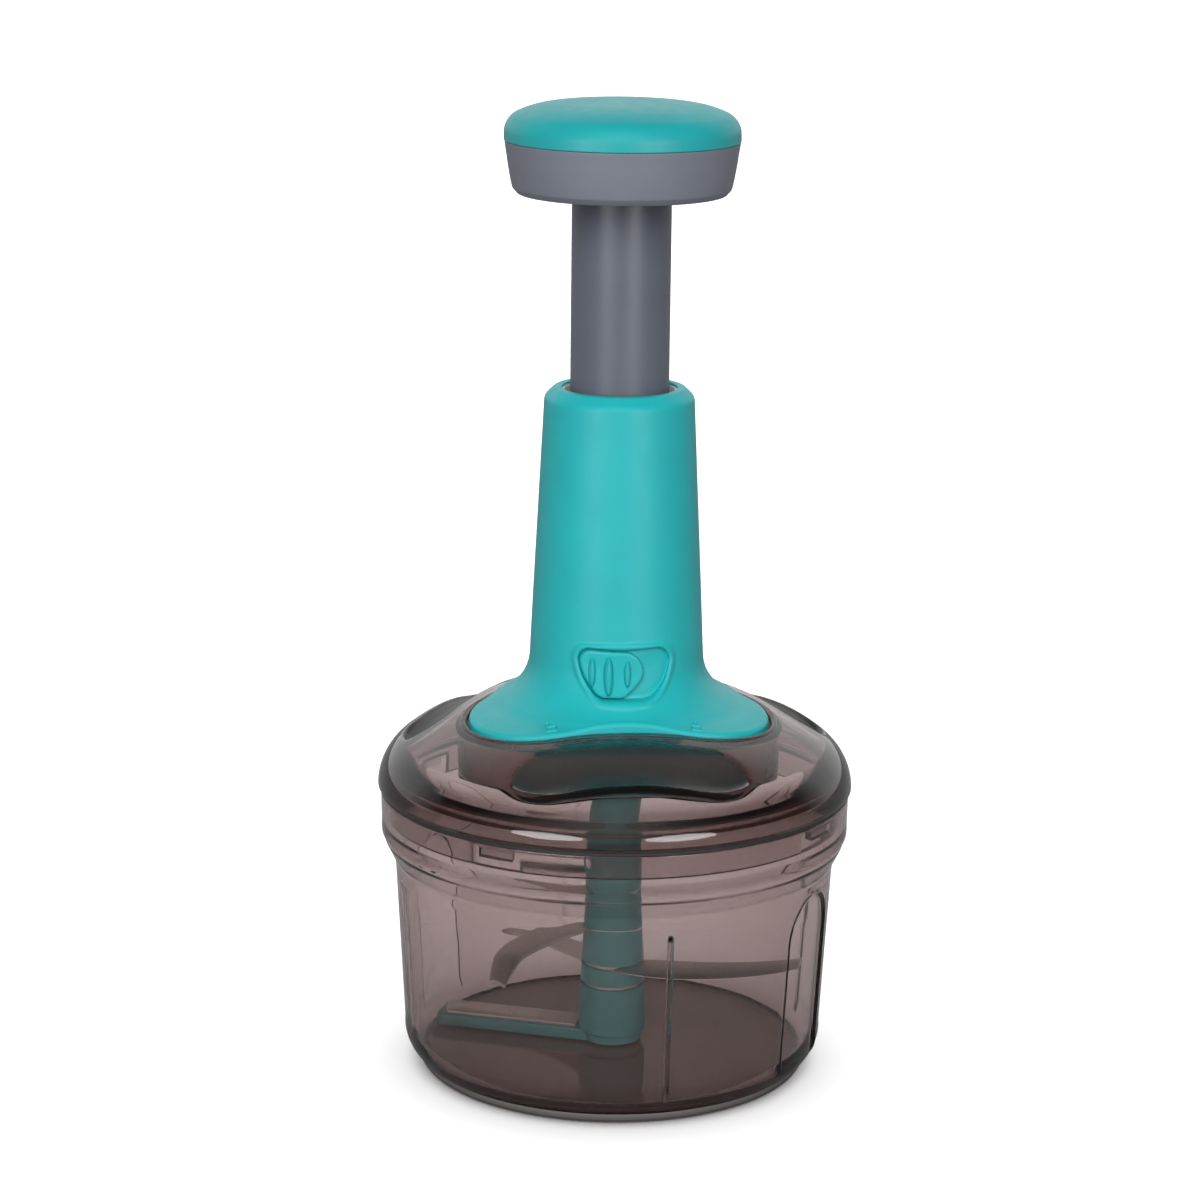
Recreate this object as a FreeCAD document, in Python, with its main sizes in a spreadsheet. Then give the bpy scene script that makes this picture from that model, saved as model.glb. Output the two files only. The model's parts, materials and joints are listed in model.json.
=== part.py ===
import FreeCAD, Part
import Sketcher
import math
import os
import re

from FreeCAD import Placement, Rotation, Vector

# Hand-press food chopper, in millimetres.
# The frame's origin is the middle of the face that it stands on, +Z is up and -Y is its front.
# Azimuths are degrees about Z, counted from +X, so the front is at -90.

DIMENSIONS = {
    # how far a form runs into what it joins, and how far a cutting form stands clear
    "overlap": 0.5,
    "stand_clear": 1.0,
    # bowl and its foot
    "foot_radius": 58.0,
    "pad_radius": 60.0,
    "pad_height": 3.0,
    "bowl_low_radius": 64.3,
    "bowl_low_height": 13.0,
    "bowl_ledge": 0.2,
    "bowl_corner_round": 10.5,
    "pad_round": 2.6,
    "bowl_high_radius": 67.1,
    "bowl_high_height": 62.6,
    "bowl_wall": 2.4,
    "floor_height": 4.8,
    "floor_flat_radius": 57.0,
    "floor_round": 9.0,
    "shoulder_low_radius": 67.5,
    "shoulder_low_height": 65.6,
    "shoulder_high_radius": 70.4,
    "shoulder_high_height": 71.4,
    "rim_low_radius": 71.4,
    "rim_low_height": 76.4,
    "rim_round": 8.0,
    "rim_radius": 71.6,
    "rim_height": 86.6,
    "rim_inner_radius": 69.0,
    "rim_shelf_height": 77.4,
    "rib_count": 4,
    "rib_azimuth": 10.0,
    "rib_width": 1.3,
    "rib_depth": 1.1,
    "rib_bottom": 9.0,
    "rib_top": 58.0,
    "rib_slope": 2.0,
    "lug_count": 4,
    "lug_azimuth": -124.5,
    "lug_sweep": 9.2,
    "lug_depth": 2.0,
    "lug_bottom": 82.2,
    "lug_top": 84.6,
    "grip_azimuth": -31.0,
    "grip_radius": 12.4,
    "grip_bottom": 6.0,
    "grip_top": 61.9,
    "grip_depth": 0.8,
    "grip_start": 50.0,
    "grip_length": 30.0,
    # steel pin that the blades turn on, with the wide foot that they stand clear of the floor on
    "pin_foot_radius": 4.9,
    "pin_foot_top": 8.7,
    "pin_radius": 3.0,
    "pin_bottom": 3.8,
    "pin_top": 37.0,
    "pin_point": 1.2,
    # silicone ring between bowl rim and lid
    "seal_inner_radius": 68.9,
    "seal_outer_radius": 71.9,
    "seal_top": 88.2,
    # crown of the lid: a wide arc, then a tight one down to the edge
    "crown_centre_radius": 29.3,
    "crown_centre_height": 54.2,
    "crown_arc": 59.7,
    "crown_skin": 0.2,
    "edge_arc": 16.9,
    "edge_break_radius": 66.0,
    "inner_break_radius": 64.6,
    "inner_edge_height": 92.2,
    "lid_radius": 72.5,
    "lid_wall": 2.4,
    "skirt_outer_radius": 68.4,
    "skirt_inner_radius": 66.2,
    "skirt_bottom": 78.8,
    "skirt_clear": 0.3,
    "lip_rise": 0.5,
    # well in the lid and the three-lobed flange that stands in it
    "lobe_distance": 24.0,
    "lobe_radius": 24.5,
    "bite_radius": 35.5,
    "flange_gap": 0.6,
    "well_wall": 2.4,
    "well_bottom": 92.0,
    "well_floor": 94.6,
    "well_cut_top": 122.0,
    "seal_bore": 8.0,
    # finger scoops in the crown
    "scoop_distance": 52.4,
    "scoop_height": 110.0,
    "scoop_half_length": 27.0,
    "scoop_bend": 105.0,
    "scoop_radius": 9.8,
    "scoop_lean": 2.1,
    "scoop_lift": 4.9,
    "scoop_end_round": 0.92,
    # bayonet windows in the skirt
    "gate_start": -132.0,
    "gate_sweep": 14.0,
    "track_sweep": 31.0,
    "track_bottom": 81.6,
    "track_top": 85.2,
    # handle housing
    "mouth_height": 210.8,
    "mouth_shoulder_height": 208.0,
    "mouth_shoulder_radius": 22.5,
    "mouth_edge_radius": 19.6,
    "mouth_round": 3.2,
    "cone_low_radius": 26.4,
    "cone_low_height": 128.5,
    "flare_height": 115.9,
    "flare_arc": 15.0,
    "flare_fit": 0.1,
    "saddle_radius": 41.0,
    "saddle_height": 113.7,
    "saddle_arc": 12.0,
    "flange_edge_radius": 52.0,
    "flange_edge_height": 110.1,
    "housing_wall": 2.3,
    "guide_outer_radius": 19.2,
    "guide_bore": 17.2,
    "guide_bottom": 163.0,
    "guide_top": 204.0,
    "flange_inside_height": 107.4,
    "cone_inside_radius": 31.0,
    "cone_inside_height": 109.4,
    "cone_inside_arc": 24.0,
    "screw_circle": 38.0,
    "boss_round": 3.6,
    "screw_radius": 1.5,
    "screw_head_radius": 3.0,
    "screw_head_height": 1.6,
    "screw_top": 102.0,
    # lock slider and its pocket, which tapers downwards
    "pocket_floor_radius": 25.0,
    "pocket_depth": 12.0,
    "pocket_azimuth": -88.2,
    "pocket_sweep": 66.0,
    "pocket_bottom": 119.9,
    "pocket_top": 136.3,
    "pocket_left": -13.4,
    "pocket_right": 14.1,
    "pocket_shoulder": 131.6,
    "pocket_low_left": -9.0,
    "pocket_low_right": 10.0,
    "pocket_low": 122.4,
    "pocket_corner": 3.6,
    "pocket_corner_round": 4.2,
    "slot_sweep": 26.8,
    "slot_azimuth": -89.2,
    "slot_bottom": 124.6,
    "slot_top": 129.4,
    "button_azimuth": -97.2,
    "button_sweep": 46.0,
    "button_inner_radius": 25.3,
    "button_outer_radius": 27.0,
    "button_gap": 0.5,
    "button_right": 6.4,
    "button_low_right": 2.6,
    "button_bottom_right": -0.4,
    "button_rib_sweep": 3.2,
    "button_rib_pitch": 11.8,
    "button_rib_top": 133.7,
    "side_rib_bottom": 125.2,
    "side_rib_height": 0.7,
    "middle_rib_bottom": 122.3,
    "middle_rib_height": 1.2,
    "middle_rib_azimuth": -99.3,
    "latch_inner_radius": 21.0,
    "latch_outer_radius": 23.5,
    "latch_sweep": 26.0,
    "latch_bottom": 123.4,
    "latch_top": 130.6,
    "finger_reach": 13.2,
    "finger_width": 4.0,
    "finger_bottom": 125.2,
    "finger_top": 128.8,
    "stem_sweep": 9.0,
    # plunger
    "press_travel": 55.0,
    "tube_radius": 14.8,
    "tube_bore": 12.0,
    "tube_bottom": 159.0,
    "collar_radius": 16.6,
    "collar_top": 162.5,
    "tube_flange_radius": 21.0,
    "cup_bottom": 268.4,
    "cup_floor": 271.4,
    "tube_top": 273.9,
    "bush_clearance": 0.08,
    "bush_top": 210.0,
    "bush_mouth_radius": 16.5,
    "bush_mouth_bottom": 204.5,
    "channel_width": 5.6,
    "channel_inner_radius": 9.0,
    "notch_start": -108.0,
    "notch_sweep": 41.0,
    "notch_play": 0.9,
    "cup_base_radius": 30.8,
    "cup_low_radius": 32.4,
    "cup_low_height": 270.2,
    "cup_mid_radius": 34.0,
    "cup_mid_height": 278.4,
    "seam_radius": 34.75,
    "seam_height": 284.0,
    "cup_wall": 2.2,
    "cup_base_round": 1.9,
    "cap_radius": 34.95,
    "cap_side_top": 286.2,
    "cap_round_radius": 31.6,
    "cap_round_height": 292.0,
    "cap_round_arc": 6.5,
    "cap_top": 295.4,
    "cap_rim": 1.6,
    "cap_wall": 2.6,
    "cap_plug_radius": 31.2,
    "cap_plug_bottom": 279.5,
    "cap_post_radius": 10.0,
    "cap_post_bore": 8.0,
    "cap_post_grip": 0.6,
    "plug_bottom": 271.0,
    "plug_top": 274.2,
    "knob_screw_circle": 18.0,
    "knob_screw_radius": 1.3,
    "knob_screw_bottom": 269.4,
    "knob_screw_head": 2.6,
    "screw_head_round": 0.4,
    "screw_slot": 0.6,
    "screw_slot_share": 1.3,
    "nut_top": 166.0,
    "nut_bore": 6.25,
    "nut_pin_radius": 1.2,
    "nut_pin_height": 161.0,
    "nut_pin_reach": 4.8,
    "nut_pin_inset": 0.4,
    # drive rod with its two spiral grooves
    "rod_radius": 6.0,
    "rod_bottom": 103.8,
    "rod_top": 166.5,
    "spiral_lead": 30.0,
    "groove_height": 4.2,
    "groove_depth": 1.6,
    "groove_gap": 0.2,
    "shank_radius": 4.0,
    "shank_bottom": 99.6,
    "pilot_radius": 2.5,
    "pilot_bottom": 97.2,
    "rod_tip_radius": 3.2,
    "rod_tip_top": 170.0,
    "seat_bottom": 167.0,
    "seat_top": 168.6,
    "seat_radius": 11.2,
    "clip_top": 169.4,
    "clip_radius": 5.2,
    # return spring
    "spring_radius": 9.2,
    "spring_wire": 0.65,
    "spring_turns": 11,
    # clutch under the rod
    "plate_top": 96.6,
    "plate_hub_radius": 11.6,
    "plate_hub_bore": 9.6,
    "plate_hub_top": 102.0,
    "plate_screw_circle": 22.0,
    "cap_ring_top": 103.5,
    "cap_ring_bore": 4.15,
    "driver_radius": 9.2,
    "driver_bottom": 99.9,
    "driver_top": 101.4,
    "tooth_count": 6,
    "tooth_height": 0.4,
    "tooth_sweep": 24.0,
    "tooth_inset": 0.6,
    "wave_inner_radius": 4.6,
    "wave_outer_radius": 8.6,
    "socket_disc_radius": 9.0,
    "socket_disc_bottom": 96.9,
    "socket_disc_top": 99.3,
    "socket_radius": 5.0,
    "socket_bottom": 84.5,
    "running_clearance": 0.05,
    "dog_radius": 7.0,
    "dog_sweep": 32.0,
    "dog_top": 90.5,
    "shaft_seal_bottom": 91.2,
    # blade unit
    "bush_bottom": 8.8,
    "bush_radius": 5.0,
    "blade_bush_top": 37.6,
    "core_radius": 6.2,
    "core_bore_top": 39.5,
    "core_top": 80.0,
    "core_screw_bottom": 70.0,
    "core_screw_top": 83.6,
    "web_top": 82.0,
    "stem_radius": 8.65,
    "stem_taper_height": 50.0,
    "stem_low_radius": 9.0,
    "stem_top": 90.9,
    "stem_cup_radius": 7.3,
    "claw_inner_radius": 5.4,
    "claw_sweep": 70.0,
    "claw_top": 90.4,
    "foot_low_radius": 10.3,
    "blade_thickness": 1.2,
    "lower_blade_height": 23.4,
    "middle_blade_height": 30.0,
    "upper_blade_height": 43.0,
    "lower_blade_azimuth": 122.0,
    "middle_blade_azimuth": -5.0,
    "upper_blade_azimuth": -128.0,
    "blade_hub_radius": 8.8,
    "blade_reach": 59.0,
    "spacer_radius": 9.65,
    "spacer_low_radius": 9.95,
    "arm_azimuth": 160.0,
    "arm_bottom": 5.4,
    "arm_top": 8.8,
    "arm_width": 13.0,
    "arm_reach": 56.2,
    "arm_hub_radius": 9.0,
    "arm_hub_bore": 5.3,
    "arm_hub_step": 8.5,
    "arm_hub_top": 12.4,
    "bottom_blade_width": 10.0,
    "bottom_blade_start": 10.6,
    "bottom_blade_reach": 56.0,
    "bottom_blade_thickness": 1.0,
    "bottom_blade_slant": 3.0,
    "arm_corner": 2.0,
}

LOBES = 3
FRONT = -90.0
FULL_TURN = 360.0
QUARTER_TURN = 90.0
SCREWS = "3"
SURE_CUT = 1.0e-3
LIKENESS = 0.1

document = FreeCAD.newDocument("FoodChopper")
sheet = document.addObject("Spreadsheet::Sheet", "Sizes")
for row, (alias, number) in enumerate(DIMENSIONS.items(), start=1):
    sheet.set(f"A{row}", alias)
    sheet.set(f"B{row}", str(number))
    sheet.setAlias(f"B{row}", alias)
document.recompute()

NAMES = re.compile("[a-z_]+")


def bound(formula):
    """The formula as an expression, with each dimension's name pointing into the sheet."""
    return NAMES.sub(
        lambda word: f"Sizes.{word.group()}" if word.group() in DIMENSIONS else word.group(), formula
    )


def size(formula):
    """The number that a formula of dimensions has now."""
    return float(sheet.evalExpression(bound(formula)))


def bind(feature, prop, formula):
    feature.setExpression(prop, bound(formula))


# ---------------------------------------------------------------- sketches and bodies


def new_body(name):
    body = document.addObject("PartDesign::Body", name)
    body.Label = name
    return body


def origin_plane(body, role):
    return next(feature for feature in body.Origin.OriginFeatures if feature.Role == role)


def upright_sketch(body, name, azimuth="0"):
    """Sketch in the plane through the Z axis at an azimuth: its x is the radius, its y the height."""
    sketch = body.newObject("Sketcher::SketchObject", name)
    sketch.AttachmentSupport = [(origin_plane(body, "XZ_Plane"), "")]
    sketch.MapMode = "FlatFace"
    sketch.AttachmentOffset = Placement(Vector(), Rotation(Vector(0, 1, 0), size(azimuth)))
    return sketch


def level_sketch(body, name, height):
    """Sketch in a level plane at a height."""
    sketch = body.newObject("Sketcher::SketchObject", name)
    sketch.AttachmentSupport = [(origin_plane(body, "XY_Plane"), "")]
    sketch.MapMode = "FlatFace"
    bind(sketch, "AttachmentOffset.Base.z", height)
    return sketch


def pin_point(sketch, side, end, across, up):
    """Hold one end of a side at the place that two formulas give."""
    for kind, axis, formula in (("DistanceX", -2, across), ("DistanceY", -1, up)):
        if formula == "0":
            sketch.addConstraint(Sketcher.Constraint("PointOnObject", side, end, axis))
            continue
        index = sketch.addConstraint(Sketcher.Constraint(kind, -1, 1, side, end, size(formula)))
        bind(sketch, f"Constraints[{index}]", formula)


def arc_between(start, end, radius):
    """Arc from start to end, and whether it runs anticlockwise; a radius below 0 runs clockwise."""
    chord = end - start
    reach = math.sqrt(radius ** 2 - (chord.Length / 2) ** 2)
    left = Vector(-chord.y, chord.x, 0).normalize()
    centre = start + chord * 0.5 + left * (reach if radius > 0 else -reach)
    first, last = (start, end) if radius > 0 else (end, start)
    angles = [math.atan2(point.y - centre.y, point.x - centre.x) for point in (first, last)]
    circle = Part.Circle(centre, Vector(0, 0, 1), abs(radius))
    return Part.ArcOfCircle(circle, *angles), radius > 0


def outline(sketch, corners):
    """Closed outline. A corner is (across, up), or (across, up, radius) when an arc leads to it."""
    points = [Vector(size(corner[0]), size(corner[1]), 0) for corner in corners]
    ends = []
    for index, corner in enumerate(corners):
        start, end = points[index - 1], points[index]
        if len(corner) == 3:
            arc, anticlockwise = arc_between(start, end, size(corner[2]))
            side = sketch.addGeometry(arc, False)
            ends.append((side, 1, 2) if anticlockwise else (side, 2, 1))
        else:
            side = sketch.addGeometry(Part.LineSegment(start, end), False)
            ends.append((side, 1, 2))
    for index, (side, _, last) in enumerate(ends):
        following, first, _ = ends[(index + 1) % len(ends)]
        sketch.addConstraint(Sketcher.Constraint("Coincident", side, last, following, first))
    for (side, _, last), corner in zip(ends, corners):
        pin_point(sketch, side, last, corner[0], corner[1])
        if len(corner) == 3:
            radius = corner[2].lstrip("-")
            held = sketch.addConstraint(Sketcher.Constraint("Radius", side, size(radius)))
            bind(sketch, f"Constraints[{held}]", radius)


def level_arc(centre, radius, start, end):
    return Part.ArcOfCircle(Part.Circle(centre, Vector(0, 0, 1), radius), start, end)


def lobed_outline(sketch, grow):
    """Three wide lobes joined by three shallow bites, all tangent, grown outwards by a formula."""
    distance, lobe = size("lobe_distance"), size(f"lobe_radius + {grow}")
    bite_arc = (
        "((bite_radius^2 + lobe_distance^2 - bite_radius * lobe_distance - lobe_radius^2)"
        " / (2 * lobe_radius + lobe_distance - 2 * bite_radius))"
    )
    bite, far = size(f"{bite_arc} - ({grow})"), size(f"{bite_arc} + bite_radius")
    third = 2 * math.pi / LOBES
    turns = [math.radians(FRONT) + third * (index + 0.5) for index in range(LOBES)]
    lobe_centres = [Vector(distance * math.cos(turn), distance * math.sin(turn), 0) for turn in turns]
    bite_centres = [
        Vector(far * math.cos(turn + third / 2), far * math.sin(turn + third / 2), 0) for turn in turns
    ]
    lobes, bites = [], []
    for index, centre in enumerate(lobe_centres):
        before, after = bite_centres[index - 1] - centre, bite_centres[index] - centre
        start, end = math.atan2(before.y, before.x), math.atan2(after.y, after.x)
        lobes.append(sketch.addGeometry(level_arc(centre, lobe, start, end)))
    for index, centre in enumerate(bite_centres):
        ahead = lobe_centres[(index + 1) % LOBES] - centre
        behind = lobe_centres[index] - centre
        start, end = math.atan2(ahead.y, ahead.x), math.atan2(behind.y, behind.x)
        bites.append(sketch.addGeometry(level_arc(centre, bite, start, end)))
    for index, (side, turn) in enumerate(zip(lobes, turns)):
        for kind, part_of_turn in (("DistanceX", math.cos(turn)), ("DistanceY", math.sin(turn))):
            if abs(part_of_turn) < SURE_CUT:
                sketch.addConstraint(Sketcher.Constraint("PointOnObject", side, 3, -2))
                continue
            held = sketch.addConstraint(Sketcher.Constraint(kind, -1, 1, side, 3, distance * part_of_turn))
            bind(sketch, f"Constraints[{held}]", f"lobe_distance * {part_of_turn:.9f}")
        held = sketch.addConstraint(Sketcher.Constraint("Radius", side, lobe))
        bind(sketch, f"Constraints[{held}]", f"lobe_radius + {grow}")
    for index, side in enumerate(bites):
        following = lobes[(index + 1) % LOBES]
        sketch.addConstraint(Sketcher.Constraint("Tangent", lobes[index], 2, side, 2))
        sketch.addConstraint(Sketcher.Constraint("Tangent", side, 1, following, 1))
        held = sketch.addConstraint(Sketcher.Constraint("Radius", side, bite))
        bind(sketch, f"Constraints[{held}]", f"{bite_arc} - ({grow})")


def circle(sketch, across, up, radius):
    """Circle held at a place."""
    side = sketch.addGeometry(Part.Circle(Vector(size(across), size(up), 0), Vector(0, 0, 1), size(radius)))
    pin_point(sketch, side, 3, across, up)
    held = sketch.addConstraint(Sketcher.Constraint("Radius", side, size(radius)))
    bind(sketch, f"Constraints[{held}]", radius)


def turned(body, name, corners, sweep=None, start="0", cut=False):
    """Turn a radius-height outline about Z: all round, or over a sweep from a start azimuth."""
    sketch = upright_sketch(body, f"{name}_section", start if sweep is None else f"{start} + {sweep} / 2")
    outline(sketch, corners)
    kind = "PartDesign::Groove" if cut else "PartDesign::Revolution"
    feature = body.newObject(kind, name)
    feature.Profile = sketch
    feature.ReferenceAxis = (sketch, ["V_Axis"])
    if sweep is not None:
        feature.Midplane = True
        bind(feature, "Angle", sweep)
    return settle(body, feature, cut)


def padded(body, name, sketch, height, downward=False):
    feature = body.newObject("PartDesign::Pad", name)
    feature.Profile = sketch
    feature.Reversed = downward
    bind(feature, "Length", height)
    return settle(body, feature, False)


def pocketed(body, name, sketch, depth, upward=False):
    feature = body.newObject("PartDesign::Pocket", name)
    feature.Profile = sketch
    feature.Reversed = upward
    bind(feature, "Length", depth)
    return settle(body, feature, True)


def repeated(body, name, feature, count, cut=False):
    pattern = body.newObject("PartDesign::PolarPattern", name)
    pattern.Originals = [feature]
    pattern.Axis = (origin_plane(body, "Z_Axis"), [""])
    pattern.Angle = FULL_TURN
    bind(pattern, "Occurrences", count)
    body.Tip = pattern
    return settle(body, pattern, cut)


def settle(body, feature, cut):
    """Recompute, and stop if a cut took nothing away or an addition added nothing."""
    before = feature.BaseFeature.Shape.Volume if feature.BaseFeature else 0.0
    if feature.isDerivedFrom("PartDesign::Transformed") and feature.Originals:
        before = feature.Originals[0].Shape.Volume
    document.recompute()
    change = feature.Shape.Volume - before
    if (cut and change > -SURE_CUT) or (not cut and change < SURE_CUT):
        raise RuntimeError(f"{body.Label}: {feature.Name} changed the volume by {change:.4f}")
    return feature


def turned_piece(name, corners):
    body = new_body(name)
    turned(body, f"{name}_turned", corners)
    return body


def cross_bore(body, name, height, radius, length):
    """Bore along X through the axis at a height."""
    sketch = upright_sketch(body, f"{name}_outline", str(QUARTER_TURN))
    circle(sketch, "0", height, radius)
    feature = body.newObject("PartDesign::Pocket", name)
    feature.Profile = sketch
    feature.Midplane = True
    bind(feature, "Length", length)
    return settle(body, feature, True)


def bored(body, name, radius, bottom, top):
    """Bore about Z between two heights."""
    return turned(body, name, [("0", bottom), (radius, bottom), (radius, top), ("0", top)], cut=True)


def ring_corners(inner, outer, bottom, top):
    return [(inner, bottom), (outer, bottom), (outer, top), (inner, top)]


# ---------------------------------------------------------------- Part solids


def joined(name, *solids):
    feature = document.addObject("Part::MultiFuse", name)
    feature.Shapes = list(solids)
    document.recompute()
    return feature


def crossed(kind, name, base, tool):
    """Cut or Common of two solids. Neither may leave the base as it was."""
    feature = document.addObject(f"Part::{kind}", name)
    feature.Base, feature.Tool = base, tool
    document.recompute()
    if not SURE_CUT < feature.Shape.Volume < base.Shape.Volume - SURE_CUT:
        raise RuntimeError(f"{name}: {kind} left {feature.Shape.Volume:.3f} mm3")
    return feature


pieces = {}


def finish_piece(name, feature):
    """Record the object that is written as a piece."""
    if feature.Label != name:
        for other in document.Objects:
            if other.Label == name:
                other.Label = f"{name}_stock"
    feature.Label = name
    pieces[name] = feature


# ---------------------------------------------------------------- bowl


def make_non_slip_base():
    return turned_piece("non_slip_base", [
        ("0", "0"),
        ("foot_radius", "0"),
        ("pad_radius", "pad_height", "pad_round"),
        ("0", "pad_height"),
    ])


def make_bowl():
    body = new_body("bowl_moulding")
    turned(body, "bowl_shell", [
        ("0", "pad_height"),
        ("pad_radius + bowl_ledge", "pad_height"),
        ("bowl_low_radius", "bowl_low_height", "bowl_corner_round"),
        ("bowl_high_radius", "bowl_high_height"),
        ("shoulder_low_radius", "shoulder_low_height"),
        ("shoulder_high_radius", "shoulder_high_height"),
        ("rim_low_radius", "rim_low_height", "rim_round"),
        ("rim_radius", "rim_height"),
        ("rim_inner_radius", "rim_height"),
        ("rim_inner_radius", "rim_shelf_height"),
        ("shoulder_high_radius - bowl_wall", "shoulder_high_height + stand_clear"),
        ("shoulder_low_radius - bowl_wall", "shoulder_low_height + stand_clear"),
        ("bowl_high_radius - bowl_wall", "bowl_high_height"),
        ("bowl_low_radius - bowl_wall", "bowl_low_height"),
        ("floor_flat_radius", "floor_height", "-floor_round"),
        ("pin_radius", "floor_height"),
        ("pin_radius", "pin_bottom"),
        ("0", "pin_bottom"),
    ])
    slope = "(bowl_high_radius - bowl_low_radius) / (bowl_high_height - bowl_low_height)"
    inside = "bowl_low_radius - bowl_wall + ({height} - bowl_low_height) * " + slope
    low, high = (inside.format(height=end) for end in ("rib_bottom", "rib_top"))
    rib = upright_sketch(body, "rib_section", "rib_azimuth")
    outline(rib, [
        (f"{low} - rib_depth", "rib_bottom"),
        (f"{low} + bowl_wall / 2", "rib_bottom"),
        (f"{high} + bowl_wall / 2", "rib_top + rib_slope"),
        (f"{high}", "rib_top + rib_slope"),
        (f"{high} - rib_depth", "rib_top"),
    ])
    pad = body.newObject("PartDesign::Pad", "rib")
    pad.Profile = rib
    pad.Midplane = True
    bind(pad, "Length", "rib_width")
    settle(body, pad, False)
    repeated(body, "ribs", pad, "rib_count")
    lug = turned(
        body, "lug",
        ring_corners("rim_inner_radius - lug_depth", "rim_inner_radius + overlap", "lug_bottom", "lug_top"),
        sweep="lug_sweep", start="lug_azimuth - lug_sweep / 2",
    )
    repeated(body, "lugs", lug, "lug_count")
    skin = new_body("grip_skin")
    turned(skin, "grip_skin_ring", [
        ("bowl_low_radius - grip_depth", "bowl_low_height"),
        ("rim_radius", "bowl_low_height"),
        ("rim_radius", "bowl_high_height"),
        ("bowl_high_radius - grip_depth", "bowl_high_height"),
    ])
    arches = []
    for index in range(2):
        turn = Rotation(Vector(0, 0, 1), size("grip_azimuth") + index * FULL_TURN / 2)
        corner = Vector(size("grip_start"), -size("grip_radius"), size("grip_bottom"))
        panel = document.addObject("Part::Box", "grip_panel")
        bind(panel, "Length", "grip_length")
        bind(panel, "Width", "2 * grip_radius")
        bind(panel, "Height", "grip_top - grip_radius - grip_bottom")
        panel.Placement = Placement(turn.multVec(corner), turn)
        middle = Vector(size("grip_start"), 0, size("grip_top - grip_radius"))
        top = document.addObject("Part::Cylinder", "grip_arch")
        bind(top, "Radius", "grip_radius")
        bind(top, "Height", "grip_length")
        lying = turn.multiply(Rotation(Vector(0, 1, 0), QUARTER_TURN))
        top.Placement = Placement(turn.multVec(middle), lying)
        arches += [panel, top]
    recess = crossed("Common", "grip_recesses", skin, joined("grip_arches", *arches))
    return crossed("Cut", "bowl", body, recess)


def make_bowl_pin():
    return turned_piece("bowl_pin", [
        ("0", "pin_bottom"),
        ("pin_radius", "pin_bottom"),
        ("pin_radius", "floor_height"),
        ("pin_foot_radius", "floor_height"),
        ("pin_foot_radius", "pin_foot_top"),
        ("pin_radius", "pin_foot_top"),
        ("pin_radius", "pin_top - pin_point"),
        ("pin_radius - pin_point", "pin_top"),
        ("0", "pin_top"),
    ])


def make_lid_seal():
    section = ring_corners("seal_inner_radius", "seal_outer_radius", "rim_height", "seal_top")
    return turned_piece("lid_seal", section)


# ---------------------------------------------------------------- lid


def crown_height(radius, drop="0"):
    """Height of the wide arc of the crown at a radius, for an arc smaller by a drop."""
    return (
        f"crown_centre_height + sqrt((crown_arc - ({drop}))^2 - ({radius} - crown_centre_radius)^2)"
    )


def make_lid():
    body = new_body("lid_moulding")
    turned(body, "lid_shell", [
        ("crown_centre_radius", crown_height("crown_centre_radius")),
        ("edge_break_radius", crown_height("edge_break_radius"), "-crown_arc"),
        ("lid_radius", "seal_top", "-edge_arc"),
        ("skirt_outer_radius", "seal_top"),
        ("skirt_outer_radius", "skirt_bottom"),
        ("skirt_inner_radius", "skirt_bottom"),
        ("skirt_inner_radius", "inner_edge_height"),
        ("inner_break_radius", crown_height("inner_break_radius", "lid_wall")),
        ("crown_centre_radius", crown_height("crown_centre_radius", "lid_wall"), "crown_arc - lid_wall"),
    ])
    block = level_sketch(body, "well_outline", "well_bottom")
    lobed_outline(block, "(flange_gap + well_wall)")
    padded(body, "well_block", block, "well_cut_top - well_bottom")
    turned(body, "lip_trim", [
        ("0", crown_height("crown_centre_radius", "-lip_rise")),
        ("crown_centre_radius", crown_height("crown_centre_radius", "-lip_rise")),
        ("edge_break_radius", crown_height("edge_break_radius", "-lip_rise"), "-(crown_arc + lip_rise)"),
        ("edge_break_radius", "well_cut_top + stand_clear"),
        ("0", "well_cut_top + stand_clear"),
    ], cut=True)
    hollow = level_sketch(body, "well_hollow_outline", "well_cut_top")
    lobed_outline(hollow, "flange_gap")
    pocketed(body, "well_hollow", hollow, "well_cut_top - well_floor")
    bored(body, "seal_hole", "seal_bore", "well_bottom - stand_clear", "well_floor + stand_clear")
    screw = level_sketch(body, "screw_hole_outline", "well_floor")
    circle(screw, "0", "screw_circle", "screw_radius")
    drilled = pocketed(body, "screw_hole", screw, "well_floor - well_bottom")
    repeated(body, "screw_holes", drilled, SCREWS, cut=True)
    wall = ("skirt_inner_radius - stand_clear", "skirt_outer_radius + skirt_clear")
    gate = turned(
        body, "gate", ring_corners(*wall, "skirt_bottom - stand_clear", "track_top"),
        sweep="gate_sweep", start="gate_start", cut=True,
    )
    repeated(body, "gates", gate, "lug_count", cut=True)
    track = turned(
        body, "track", ring_corners(*wall, "track_bottom", "track_top"),
        sweep="track_sweep", start="gate_start", cut=True,
    )
    repeated(body, "tracks", track, "lug_count", cut=True)
    under = new_body("crown_inside")
    turned(under, "crown_inside_solid", [
        ("crown_centre_radius", "well_floor"),
        ("edge_break_radius", "well_floor"),
        ("edge_break_radius", crown_height("edge_break_radius", "crown_skin")),
        ("crown_centre_radius", crown_height("crown_centre_radius", "crown_skin"), "crown_arc - crown_skin"),
    ])
    backs = joined("scoop_backs", *[scoop_bar(index, "lid_wall") for index in range(LOBES)])
    filled = joined("lid_filled", body, crossed("Common", "scoop_backing", under, backs))
    dents = joined("scoops", *[scoop_bar(index, "0") for index in range(LOBES)])
    return crossed("Cut", "lid", filled, dents)


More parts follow.
